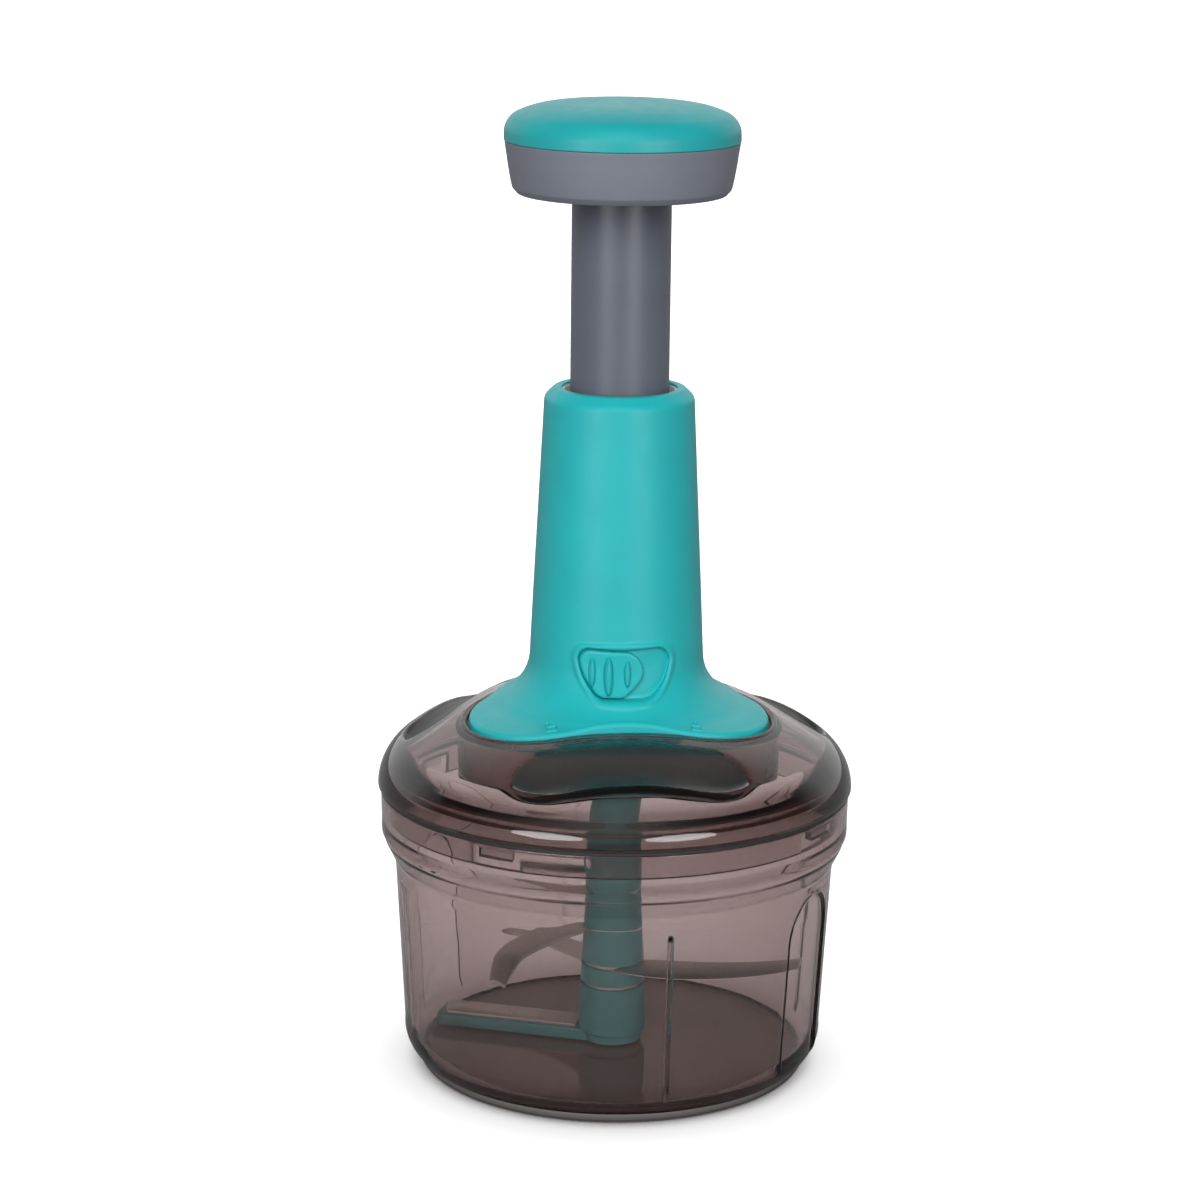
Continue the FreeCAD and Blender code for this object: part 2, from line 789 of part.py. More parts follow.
def scoop_bar(index, grow):
    """Bent round bar with domed ends that leaves one finger scoop, or its backing when grown."""
    bend, bar = size("scoop_bend"), size(f"scoop_radius + {grow}")
    half = size("scoop_half_length + scoop_radius")
    distance, middle = size("scoop_distance + scoop_lean"), size("scoop_height + scoop_lift")
    drop = bend - math.sqrt(bend ** 2 - half ** 2)
    ends = [Vector(distance, side * half, middle - drop) for side in (-1, 1)]
    path = Part.Arc(ends[0], Vector(distance, 0, middle), ends[1]).toShape()
    section = Part.Wire([Part.makeCircle(bar, ends[0], path.tangentAt(path.FirstParameter))])
    solid = Part.Wire([path]).makePipeShell([section], True, True)
    rims = [edge for edge in solid.Edges if abs(edge.Length - 2 * math.pi * bar) < LIKENESS]
    feature = document.addObject("Part::Feature", "scoop_bar")
    feature.Shape = solid.makeFillet(size("scoop_end_round") * bar, rims)
    feature.Placement = Placement(Vector(), Rotation(Vector(0, 0, 1), FRONT + index * FULL_TURN / LOBES))
    return feature


# ---------------------------------------------------------------- housing


def make_handle_housing():
    body = new_body("housing_moulding")
    flange = level_sketch(body, "flange_outline", "flange_inside_height")
    lobed_outline(flange, "0")
    padded(body, "flange_block", flange, "flare_height - flange_inside_height")
    turned(body, "flange_slope", [
        ("bite_radius - flare_fit", "flare_height"),
        ("saddle_radius", "saddle_height", "saddle_arc"),
        ("flange_edge_radius", "flange_edge_height", "-crown_arc"),
        ("flange_edge_radius", "flare_height + stand_clear"),
        ("bite_radius - flare_fit", "flare_height + stand_clear"),
    ], cut=True)
    turned(body, "cone", [
        ("0", "flange_inside_height"),
        ("bite_radius - flare_fit", "flange_inside_height"),
        ("bite_radius - flare_fit", "flare_height"),
        ("cone_low_radius", "cone_low_height", "-flare_arc"),
        ("mouth_shoulder_radius", "mouth_shoulder_height"),
        ("mouth_edge_radius", "mouth_height", "mouth_round"),
        ("0", "mouth_height"),
    ])
    turned(body, "cone_hollow", [
        ("0", "flange_inside_height - stand_clear"),
        ("cone_inside_radius", "flange_inside_height - stand_clear"),
        ("cone_inside_radius", "cone_inside_height"),
        ("cone_low_radius - housing_wall", "cone_low_height", "-cone_inside_arc"),
        ("mouth_shoulder_radius - housing_wall", "guide_top"),
        ("guide_outer_radius", "guide_top"),
        ("guide_outer_radius", "guide_bottom"),
        ("guide_bore", "guide_bottom"),
        ("guide_bore", "mouth_height + stand_clear"),
        ("0", "mouth_height + stand_clear"),
    ], cut=True)
    post = level_sketch(body, "screw_post_outline", "plate_top")
    circle(post, "0", "screw_circle", "boss_round")
    standing = padded(body, "screw_post", post, "flange_inside_height + overlap - plate_top")
    repeated(body, "screw_posts", standing, SCREWS)
    hole = level_sketch(body, "screw_hole_outline", "plate_top")
    circle(hole, "0", "screw_circle", "screw_radius")
    drilled = pocketed(body, "screw_post_hole", hole, "screw_top - plate_top", upward=True)
    repeated(body, "screw_post_holes", drilled, SCREWS, cut=True)
    turned(
        body, "latch_slot",
        ring_corners("latch_inner_radius", "pocket_floor_radius + stand_clear", "slot_bottom", "slot_top"),
        sweep="slot_sweep", start="slot_azimuth - slot_sweep / 2", cut=True,
    )
    space = new_body("pocket_ring")
    turned(
        space, "pocket_ring_sector",
        ring_corners("pocket_floor_radius", "pocket_floor_radius + pocket_depth", "pocket_bottom", "pocket_top"),
        sweep="pocket_sweep", start="pocket_azimuth - pocket_sweep / 2",
    )
    shape = front_prism("pocket_shape", [
        ("pocket_left + pocket_corner", "pocket_top"),
        ("pocket_left", "pocket_shoulder", "pocket_corner_round"),
        ("pocket_low_left", "pocket_low"),
        ("pocket_low_left + pocket_corner", "pocket_bottom", "pocket_corner_round"),
        ("pocket_low_right - pocket_corner", "pocket_bottom"),
        ("pocket_low_right", "pocket_low", "pocket_corner_round"),
        ("pocket_right", "pocket_shoulder"),
        ("pocket_right - pocket_corner", "pocket_top", "pocket_corner_round"),
    ])
    return crossed("Cut", "handle_housing", body, crossed("Common", "slider_pocket", space, shape))


def front_prism(name, corners):
    """Solid that runs forwards from the middle plane, with an outline seen from the front."""
    body = new_body(name)
    sketch = body.newObject("Sketcher::SketchObject", f"{name}_outline")
    sketch.AttachmentSupport = [(origin_plane(body, "XZ_Plane"), "")]
    sketch.MapMode = "FlatFace"
    outline(sketch, corners)
    padded(body, f"{name}_pad", sketch, "cone_inside_radius + pocket_depth")
    if body.Shape.CenterOfGravity.y > 0:
        raise RuntimeError(f"{name} runs backwards")
    return body


def make_guide_bush():
    return turned_piece("guide_bush", [
        ("tube_radius + bush_clearance", "guide_bottom"),
        ("guide_bore", "guide_bottom"),
        ("guide_bore", "bush_top"),
        ("bush_mouth_radius", "bush_top"),
        ("tube_radius + bush_clearance", "bush_mouth_bottom"),
    ])


def make_lock_slider():
    ring = new_body("button_ring")
    turned(
        ring, "button_ring_sector",
        ring_corners("button_inner_radius", "button_outer_radius", "pocket_bottom", "pocket_top"),
        sweep="button_sweep", start="button_azimuth - button_sweep / 2",
    )
    shape = front_prism("button_shape", [
        ("pocket_left + pocket_corner", "pocket_top - button_gap"),
        ("pocket_left + button_gap", "pocket_shoulder", "pocket_corner_round"),
        ("pocket_low_left + button_gap", "pocket_low + button_gap"),
        ("pocket_low_left + pocket_corner", "pocket_bottom + button_gap", "pocket_corner_round"),
        ("button_bottom_right", "pocket_bottom + button_gap"),
        ("button_low_right", "pocket_low + button_gap", "pocket_corner_round"),
        ("button_right", "pocket_shoulder"),
        ("button_right - pocket_corner", "pocket_top - button_gap", "pocket_corner_round"),
    ])
    face = crossed("Common", "button_face", ring, shape)
    body = new_body("button_details")
    turned(
        body, "button_stem",
        ring_corners("latch_outer_radius", "button_inner_radius + overlap", "finger_bottom", "finger_top"),
        sweep="stem_sweep", start="button_azimuth - stem_sweep / 2",
    )
    ribs = [body]
    for step in (-1, 0, 1):
        kind = "side" if step else "middle"
        rib = new_body(f"button_rib_{step + 1}")
        turned(
            rib, f"button_rib_form_{step + 1}",
            ring_corners(
                "button_outer_radius - overlap", f"button_outer_radius + {kind}_rib_height",
                f"{kind}_rib_bottom", "button_rib_top",
            ),
            sweep="button_rib_sweep",
            start=f"middle_rib_azimuth + {step} * button_rib_pitch - button_rib_sweep / 2",
        )
        ribs.append(rib)
    return joined("lock_slider", face, *ribs)


def make_lock_latch():
    body = new_body("lock_latch")
    turned(
        body, "latch_plate",
        ring_corners("latch_inner_radius", "latch_outer_radius", "latch_bottom", "latch_top"),
        sweep="latch_sweep", start="button_azimuth - latch_sweep / 2",
    )
    finger = level_sketch(body, "finger_outline", "finger_bottom")
    finger.AttachmentOffset = Placement(
        Vector(0, 0, size("finger_bottom")), Rotation(Vector(0, 0, 1), size("button_azimuth"))
    )
    bind(finger, "AttachmentOffset.Base.z", "finger_bottom")
    outline(finger, [
        ("finger_reach", "-finger_width / 2"),
        ("latch_inner_radius + 1", "-finger_width / 2"),
        ("latch_inner_radius + 1", "finger_width / 2"),
        ("finger_reach", "finger_width / 2"),
    ])
    padded(body, "finger", finger, "finger_top - finger_bottom")
    return body


# ---------------------------------------------------------------- plunger


def make_plunger_tube():
    body = new_body("plunger_tube")
    turned(body, "tube", [
        ("tube_bore", "tube_bottom"),
        ("collar_radius", "tube_bottom"),
        ("collar_radius", "collar_top"),
        ("tube_radius", "collar_top"),
        ("tube_radius", "cup_floor"),
        ("tube_flange_radius", "cup_floor"),
        ("tube_flange_radius", "tube_top"),
        ("tube_bore", "tube_top"),
    ])
    channel = level_sketch(body, "channel_outline", "tube_bottom")
    channel.AttachmentOffset = Placement(
        Vector(0, 0, size("tube_bottom")), Rotation(Vector(0, 0, 1), size("button_azimuth"))
    )
    bind(channel, "AttachmentOffset.Base.z", "tube_bottom")
    outline(channel, [
        ("channel_inner_radius", "-channel_width / 2"),
        ("collar_radius + stand_clear", "-channel_width / 2"),
        ("collar_radius + stand_clear", "channel_width / 2"),
        ("channel_inner_radius", "channel_width / 2"),
    ])
    notch_top = "finger_top + press_travel + notch_play"
    pocketed(body, "channel", channel, f"{notch_top} - tube_bottom", upward=True)
    turned(
        body, "notch",
        ring_corners(
            "tube_bore - stand_clear", "tube_radius + stand_clear",
            "finger_bottom + press_travel - notch_play", notch_top,
        ),
        sweep="notch_sweep", start="notch_start", cut=True,
    )
    hole = level_sketch(body, "knob_screw_hole_outline", "tube_top")
    circle(hole, "0", "knob_screw_circle", "knob_screw_radius")
    drilled = pocketed(body, "knob_screw_hole", hole, "tube_top - cup_floor")
    repeated(body, "knob_screw_holes", drilled, SCREWS, cut=True)
    cross_bore(body, "nut_pin_holes", "nut_pin_height", "nut_pin_radius", "2 * (collar_radius + stand_clear)")
    return body


def make_knob_cup():
    body = new_body("knob_cup")
    turned(body, "cup", [
        ("tube_radius", "cup_bottom"),
        ("cup_base_radius", "cup_bottom"),
        ("cup_low_radius", "cup_low_height", "cup_base_round"),
        ("cup_mid_radius", "cup_mid_height"),
        ("seam_radius", "seam_height"),
        ("seam_radius - cup_wall", "seam_height"),
        ("cup_mid_radius - cup_wall", "cup_mid_height"),
        ("cup_low_radius - cup_wall", "cup_floor"),
        ("tube_radius", "cup_floor"),
    ])
    hole = level_sketch(body, "screw_hole_outline", "cup_floor")
    circle(hole, "0", "knob_screw_circle", "knob_screw_radius")
    drilled = pocketed(body, "screw_hole", hole, "cup_floor - knob_screw_bottom")
    repeated(body, "screw_holes", drilled, SCREWS, cut=True)
    return body


def make_knob_cap():
    body = new_body("knob_cap")
    inner = "(cap_round_radius - cap_wall)"
    turned(body, "cap", [
        ("0", "cap_top - cap_wall"),
        (inner, "cap_round_height - cap_wall", f"-{dome_arc(inner)}"),
        ("cap_plug_radius - cap_rim", "cap_plug_bottom"),
        ("cap_plug_radius", "cap_plug_bottom"),
        ("cap_plug_radius", "seam_height"),
        ("cap_radius", "seam_height"),
        ("cap_radius", "cap_side_top"),
        ("cap_round_radius", "cap_round_height", "cap_round_arc"),
        ("0", "cap_top", dome_arc("cap_round_radius")),
    ])
    post_top = "cap_top - cap_wall + cap_post_grip"
    turned(body, "post", ring_corners("cap_post_bore", "cap_post_radius", "plug_top", post_top))
    return body


def dome_arc(radius):
    """Radius of the knob's dome, whose centre is on the axis, over a rim of this radius."""
    rise = "(cap_top - cap_round_height)"
    return f"(({radius}^2 + {rise}^2) / (2 * {rise}))"


def make_tube_plug():
    return turned_piece("tube_plug", [
        ("0", "plug_bottom"),
        ("tube_bore", "plug_bottom"),
        ("tube_bore", "plug_top"),
        ("0", "plug_top"),
    ])


def screw_group(name, circle_radius, shank, head, bottom, top, head_up):
    """Three cross-head screws round Z as one group of separate solids."""
    low, high, deep, slot = size(bottom), size(top), size("screw_head_height"), size("screw_slot")
    head_base = high if head_up else low - deep
    outer_face = high + deep if head_up else low - deep
    screw = Part.makeCylinder(size(shank), high - low, Vector(0, 0, low))
    cap = Part.makeCylinder(size(head), deep, Vector(0, 0, head_base))
    rims = [edge for edge in cap.Edges if edge.BoundBox.ZLength < SURE_CUT]
    rim = min(rims, key=lambda edge: abs(edge.BoundBox.ZMin - outer_face))
    screw = screw.fuse(cap.makeFillet(size("screw_head_round"), [rim]))
    length = size(head) * size("screw_slot_share")
    slot_base = outer_face - slot if head_up else outer_face
    for across, along in ((length, slot), (slot, length)):
        screw = screw.cut(Part.makeBox(across, along, slot, Vector(-across / 2, -along / 2, slot_base)))
    solids = []
    for index in range(int(SCREWS)):
        turn = math.radians(QUARTER_TURN + index * FULL_TURN / int(SCREWS))
        placed = screw.removeSplitter()
        placed.translate(Vector(math.cos(turn), math.sin(turn), 0) * size(circle_radius))
        solids += placed.Solids
    feature = document.addObject("Part::Feature", name)
    feature.Shape = Part.makeCompound(solids)
    return feature


def make_spiral_nut():
    body = new_body("nut_blank")
    turned(body, "nut", ring_corners("nut_bore", "tube_bore", "tube_bottom", "nut_top"))
    cross_bore(body, "nut_pin_bores", "nut_pin_height", "nut_pin_radius", "2 * (tube_bore + stand_clear)")
    return body


def make_nut_pins():
    """Two radial pins that hold the nut in the tube and run in the spiral grooves."""
    solids = []
    for side in (-1, 1):
        start = Vector(side * size("nut_pin_reach"), 0, size("nut_pin_height"))
        length = size("collar_radius - nut_pin_inset - nut_pin_reach")
        solids.append(Part.makeCylinder(size("nut_pin_radius"), length, start, Vector(side, 0, 0)))
    feature = document.addObject("Part::Feature", "nut_pins")
    feature.Shape = Part.makeCompound(solids)
    return feature


# ---------------------------------------------------------------- drive


def make_spiral_rod():
    blank = turned_piece("rod_blank", [
        ("0", "pilot_bottom"),
        ("pilot_radius", "pilot_bottom"),
        ("pilot_radius", "shank_bottom"),
        ("shank_radius", "shank_bottom"),
        ("shank_radius", "rod_bottom"),
        ("rod_radius", "rod_bottom"),
        ("rod_radius", "rod_top"),
        ("rod_tip_radius", "rod_top"),
        ("rod_tip_radius", "rod_tip_top"),
        ("0", "rod_tip_top"),
    ])
    document.recompute()
    lead, height = size("spiral_lead"), size("rod_top - rod_bottom") + size("groove_height")
    outer, inner = size("rod_radius + overlap"), size("rod_radius - groove_depth")
    start = size("rod_bottom - groove_height")
    run_below = (size("nut_pin_height") - start) / lead * FULL_TURN
    grooves = []
    for index in range(2):
        helix = Part.makeLongHelix(lead, height, size("rod_radius"), 0)
        half = size("groove_height") / 2
        section = Part.makePolygon([
            Vector(inner, 0, -half), Vector(outer, 0, -half),
            Vector(outer, 0, half), Vector(inner, 0, half), Vector(inner, 0, -half),
        ])
        groove = Part.Wire(helix.Edges).makePipeShell([section], True, True)
        groove.rotate(Vector(), Vector(0, 0, 1), index * FULL_TURN / 2 - run_below)
        groove.translate(Vector(0, 0, start))
        feature = document.addObject("Part::Feature", "spiral_groove")
        feature.Shape = groove
        grooves.append(feature)
    return crossed("Cut", "spiral_rod", blank, joined("spiral_grooves", *grooves))


def make_return_spring():
    bottom, top = size("seat_top + spring_wire"), size("plug_bottom - spring_wire")
    rise = (top - bottom) / size("spring_turns")
    helix = Part.makeLongHelix(rise, top - bottom, size("spring_radius"), 0)
    start = Vector(size("spring_radius"), 0, 0)
    ring = Part.Wire([Part.makeCircle(size("spring_wire"), start, Vector(0, 1, 0))])
    coil = Part.Wire(helix.Edges).makePipeShell([ring], True, True)
    feature = document.addObject("Part::Feature", "return_spring")
    feature.Shape = coil
    feature.Placement = Placement(Vector(0, 0, bottom), Rotation())
    return feature


def make_clutch_driver():
    body = new_body("clutch_driver")
    turned(body, "driver", ring_corners("shank_radius", "driver_radius", "driver_bottom", "driver_top"))
    tooth = turned(
        body, "driver_tooth",
        ring_corners(
            "shank_radius + stand_clear", "driver_radius - tooth_inset",
            "driver_bottom - tooth_height", "driver_bottom + overlap",
        ),
        sweep="tooth_sweep", start="0",
    )
    repeated(body, "driver_teeth", tooth, "tooth_count")
    return body


def make_drive_socket():
    body = new_body("drive_socket")
    turned(body, "socket", [
        ("0", "socket_bottom"),
        ("socket_radius", "socket_bottom"),
        ("socket_radius", "socket_disc_bottom"),
        ("socket_disc_radius", "socket_disc_bottom"),
        ("socket_disc_radius", "socket_disc_top"),
        ("pilot_radius + running_clearance", "socket_disc_top"),
        ("pilot_radius + running_clearance", "pilot_bottom - groove_gap"),
        ("0", "pilot_bottom - groove_gap"),
    ])
    dog = turned(
        body, "dog", ring_corners("socket_radius - stand_clear", "dog_radius", "socket_bottom", "dog_top"),
        sweep="dog_sweep", start="-dog_sweep / 2",
    )
    repeated(body, "dogs", dog, "2")
    return body


def make_base_plate():
    """Tray that closes the housing's flange from below, with the bearing hub of the drive on its floor."""
    body = new_body("base_plate")
    tray = level_sketch(body, "tray_outline", "well_floor")
    lobed_outline(tray, "0")
    padded(body, "tray_block", tray, "flange_inside_height - well_floor")
    hollow = level_sketch(body, "tray_hollow_outline", "plate_top")
    lobed_outline(hollow, "(-housing_wall)")
    pocketed(body, "tray_hollow", hollow, "flange_inside_height - plate_top", upward=True)
    hub = ring_corners("plate_hub_bore", "plate_hub_radius", "plate_top - overlap", "plate_hub_top")
    turned(body, "hub", hub)
    bore = "socket_radius + running_clearance"
    bored(body, "socket_bore", bore, "well_floor - stand_clear", "plate_top + stand_clear")
    for name, distance, radius in (
        ("plate_screw", "plate_screw_circle", "knob_screw_radius"),
        ("housing_screw", "screw_circle", "screw_radius"),
    ):
        hole = level_sketch(body, f"{name}_outline", "plate_top")
        circle(hole, "0", distance, radius)
        drilled = pocketed(body, f"{name}_hole", hole, "plate_top - well_floor")
        repeated(body, f"{name}_holes", drilled, SCREWS, cut=True)
    return body


# ---------------------------------------------------------------- blade unit


def make_blade_stem():
    body = new_body("blade_stem")
    turned(body, "stem", [
        ("core_radius", "upper_blade_height + blade_thickness"),
        ("stem_low_radius", "upper_blade_height + blade_thickness"),
        ("stem_radius", "stem_taper_height"),
        ("stem_radius", "stem_top"),
        ("stem_cup_radius", "stem_top"),
        ("stem_cup_radius", "web_top"),
        ("screw_radius", "web_top"),
        ("screw_radius", "core_top"),
        ("core_radius", "core_top"),
    ])
    claw = turned(
        body, "claw",
        ring_corners("claw_inner_radius", "stem_cup_radius + overlap", "web_top - overlap", "claw_top"),
        sweep="claw_sweep", start="90 - claw_sweep / 2",
    )
    repeated(body, "claws", claw, "2")
    return body


def make_blade_core():
    return turned_piece("blade_core", [
        ("bush_radius", "bush_bottom"),
        ("core_radius", "bush_bottom"),
        ("core_radius", "core_top"),
        ("screw_radius", "core_top"),
        ("screw_radius", "core_screw_bottom"),
        ("0", "core_screw_bottom"),
        ("0", "core_bore_top"),
        ("bush_radius", "core_bore_top"),
    ])


def make_core_screw():
    return turned_piece("core_screw", [
        ("0", "core_screw_bottom"),
        ("screw_radius", "core_screw_bottom"),
        ("screw_radius", "web_top"),
        ("screw_head_radius", "web_top"),
        ("screw_head_radius", "core_screw_top"),
        ("0", "core_screw_top"),
    ])


def make_blade(name, height, azimuth):
    """Sickle blade: a hub ring and one bowed wing whose tip points along the azimuth."""
    body = new_body(name)
    hub = level_sketch(body, f"{name}_hub_outline", height)
    circle(hub, "0", "0", "blade_hub_radius")
    padded(body, f"{name}_hub", hub, "blade_thickness")
    wing = level_sketch(body, f"{name}_wing_outline", height)
    wing.AttachmentOffset = Placement(
        Vector(0, 0, size(height)), Rotation(Vector(0, 0, 1), size(azimuth))
    )
    bind(wing, "AttachmentOffset.Base.z", height)
    outline(wing, [
        ("7.5", "-1.5"),
        ("-1.5", "-8.2"),
        ("22", "-16.3", "38"),
        ("blade_reach - 1.6", "-5.8", "62"),
        ("blade_reach", "1"),
        ("25", "-3.2", "-85"),
    ])
    padded(body, f"{name}_wing", wing, "blade_thickness")
    above = f"{height} + blade_thickness + stand_clear"
    bored(body, f"{name}_bore", "core_radius", f"{height} - stand_clear", above)
    return body


def make_scraper_arm():
    body = new_body("scraper_arm")
    turned(body, "arm_hub", [
        ("arm_hub_bore", "arm_bottom"),
        ("arm_hub_radius", "arm_bottom"),
        ("arm_hub_radius", "arm_hub_step"),
        ("foot_low_radius", "arm_hub_step"),
        ("foot_low_radius", "arm_hub_top"),
        ("core_radius", "arm_hub_top"),
        ("core_radius", "bush_bottom"),
        ("arm_hub_bore", "bush_bottom"),
    ])
    arm = level_sketch(body, "arm_outline", "arm_bottom")
    arm.AttachmentOffset = Placement(
        Vector(0, 0, size("arm_bottom")), Rotation(Vector(0, 0, 1), size("arm_azimuth"))
    )
    bind(arm, "AttachmentOffset.Base.z", "arm_bottom")
    outline(arm, [
        ("arm_hub_bore + stand_clear", "arm_width / 2"),
        ("arm_hub_bore + stand_clear", "-arm_width / 2"),
        ("arm_reach - arm_corner", "-arm_width / 2"),
        ("arm_reach", "-arm_width / 2 + arm_corner", "arm_corner"),
        ("arm_reach", "arm_width / 2 - arm_corner"),
        ("arm_reach - arm_corner", "arm_width / 2", "arm_corner"),
    ])
    padded(body, "arm", arm, "arm_top - arm_bottom")
    return body


def make_bottom_blade():
    body = new_body("bottom_blade")
    strip = level_sketch(body, "strip_outline", "arm_top")
    strip.AttachmentOffset = Placement(
        Vector(0, 0, size("arm_top")), Rotation(Vector(0, 0, 1), size("arm_azimuth"))
    )
    bind(strip, "AttachmentOffset.Base.z", "arm_top")
    outline(strip, [
        ("bottom_blade_start", "-bottom_blade_width / 2"),
        ("bottom_blade_reach", "-bottom_blade_width / 2"),
        ("bottom_blade_reach - bottom_blade_slant", "bottom_blade_width / 2"),
        ("bottom_blade_start", "bottom_blade_width / 2"),
    ])
    padded(body, "strip", strip, "bottom_blade_thickness")
    return body


def sleeve(name, bottom, top, low_radius, high_radius):
    return turned_piece(name, [
        ("core_radius", bottom), (low_radius, bottom), (high_radius, top), ("core_radius", top),
    ])


# ---------------------------------------------------------------- all pieces

upper, middle, lower = ("upper_blade_height", "middle_blade_height", "lower_blade_height")

MAKERS = {
    "non_slip_base": make_non_slip_base,
    "bowl": make_bowl,
    "bowl_pin": make_bowl_pin,
    "lid_seal": make_lid_seal,
    "lid": make_lid,
    "handle_housing": make_handle_housing,
    "guide_bush": make_guide_bush,
    "base_plate": make_base_plate,
    "bearing_cap": lambda: turned_piece(
        "bearing_cap", ring_corners("cap_ring_bore", "plate_hub_radius", "plate_hub_top", "cap_ring_top")),
    "shaft_seal": lambda: turned_piece("shaft_seal", ring_corners(
        "socket_radius + running_clearance", "seal_bore", "shaft_seal_bottom", "well_floor")),
    "housing_screws": lambda: screw_group(
        "housing_screws", "screw_circle", "screw_radius", "screw_head_radius",
        "well_bottom", "screw_top", head_up=False),
    "base_plate_screws": lambda: screw_group(
        "base_plate_screws", "plate_screw_circle", "knob_screw_radius", "knob_screw_head",
        "well_floor", "plate_top", head_up=True),
    "return_spring": make_return_spring,
    "plunger_tube": make_plunger_tube,
    "knob_cup": make_knob_cup,
    "knob_cap": make_knob_cap,
    "tube_plug": make_tube_plug,
    "knob_screws": lambda: screw_group(
        "knob_screws", "knob_screw_circle", "knob_screw_radius", "knob_screw_head",
        "knob_screw_bottom", "tube_top", head_up=True),
    "spiral_nut": make_spiral_nut,
    "nut_pins": make_nut_pins,
    "spiral_rod": make_spiral_rod,
    "spring_seat": lambda: turned_piece(
        "spring_seat", ring_corners("rod_tip_radius", "seat_radius", "seat_bottom", "seat_top")),
    "rod_clip": lambda: turned_piece(
        "rod_clip", ring_corners("rod_tip_radius", "clip_radius", "seat_top", "clip_top")),
    "clutch_driver": make_clutch_driver,
    "clutch_spring": lambda: turned_piece("clutch_spring", ring_corners(
        "wave_inner_radius", "wave_outer_radius", "driver_top", "plate_hub_top")),
    "drive_socket": make_drive_socket,
    "blade_stem": make_blade_stem,
    "blade_core": make_blade_core,
    "core_screw": make_core_screw,
    "stem_bush": lambda: turned_piece("stem_bush", ring_corners(
        "pin_radius + running_clearance", "bush_radius", "bush_bottom", "blade_bush_top")),
    "upper_blade": lambda: make_blade("upper_blade", upper, "upper_blade_azimuth"),
    "middle_blade": lambda: make_blade("middle_blade", middle, "middle_blade_azimuth"),
    "lower_blade": lambda: make_blade("lower_blade", lower, "lower_blade_azimuth"),
    "upper_spacer": lambda: sleeve(
        "upper_spacer", f"{middle} + blade_thickness", upper, "spacer_radius", "stem_low_radius"),
    "lower_spacer": lambda: sleeve(
        "lower_spacer", f"{lower} + blade_thickness", middle, "spacer_low_radius", "spacer_radius"),
    "foot_sleeve": lambda: sleeve(
        "foot_sleeve", "arm_hub_top", lower, "foot_low_radius", "spacer_low_radius"),
    "scraper_arm": make_scraper_arm,
    "bottom_blade": make_bottom_blade,
    "lock_slider": make_lock_slider,
    "lock_latch": make_lock_latch,
}

for node, maker in MAKERS.items():
    finish_piece(node, maker())
document.recompute()

for feature in document.Objects:
    if "Invalid" in feature.State or "Error" in feature.State:
        raise RuntimeError(f"{feature.Label} failed: {feature.State}")

os.makedirs("parts", exist_ok=True)
for node, feature in pieces.items():
    if feature.Shape.isNull() or not feature.Shape.isValid():
        raise RuntimeError(f"{node} has no valid shape")
    feature.Shape.exportStep(f"parts/{node}.step")
    bounds = feature.Shape.BoundBox
    print(
        f"{node}: {len(feature.Shape.Solids)} solid(s), {feature.Shape.Volume:.0f} mm3, "
        f"z {bounds.ZMin:.2f} to {bounds.ZMax:.2f}, x {bounds.XMin:.2f} to {bounds.XMax:.2f}"
    )
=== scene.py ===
import json
import math

import bmesh
import bpy
import numpy as np
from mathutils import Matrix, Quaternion, Vector
from mathutils.bvhtree import BVHTree


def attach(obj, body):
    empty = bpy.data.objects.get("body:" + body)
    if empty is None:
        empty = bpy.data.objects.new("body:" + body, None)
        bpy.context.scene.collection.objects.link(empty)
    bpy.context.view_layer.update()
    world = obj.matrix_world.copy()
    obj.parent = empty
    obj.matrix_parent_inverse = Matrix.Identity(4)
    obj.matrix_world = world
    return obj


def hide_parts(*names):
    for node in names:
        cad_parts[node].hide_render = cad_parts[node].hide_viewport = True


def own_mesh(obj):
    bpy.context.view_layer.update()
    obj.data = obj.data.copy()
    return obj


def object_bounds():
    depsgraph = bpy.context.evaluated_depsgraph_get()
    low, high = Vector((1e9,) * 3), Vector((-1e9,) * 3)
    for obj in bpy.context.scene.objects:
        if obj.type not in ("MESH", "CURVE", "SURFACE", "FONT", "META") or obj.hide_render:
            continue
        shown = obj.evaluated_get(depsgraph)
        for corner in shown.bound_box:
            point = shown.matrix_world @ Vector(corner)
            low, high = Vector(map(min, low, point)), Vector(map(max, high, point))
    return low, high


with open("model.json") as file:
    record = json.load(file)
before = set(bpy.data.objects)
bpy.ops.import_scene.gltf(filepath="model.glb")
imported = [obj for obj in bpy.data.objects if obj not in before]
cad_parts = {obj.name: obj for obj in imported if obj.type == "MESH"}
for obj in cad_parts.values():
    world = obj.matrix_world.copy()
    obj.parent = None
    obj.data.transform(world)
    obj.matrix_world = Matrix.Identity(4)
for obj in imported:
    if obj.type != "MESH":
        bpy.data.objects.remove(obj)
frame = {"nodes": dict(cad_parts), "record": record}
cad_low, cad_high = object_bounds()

# Hand-press food chopper. Shapes are in millimetres and turned into metres where a mesh is made.
# Azimuths are degrees about Z, counted from +X, so the front of the object is at -90.
# Outlines are (across, up) or (radius, height) points; a third value rounds that corner.

MM = 0.001
FRONT = -90.0
FULL_TURN = 2 * math.pi
WELD = 1e-7
COLUMNS = 384

# ---- outlines


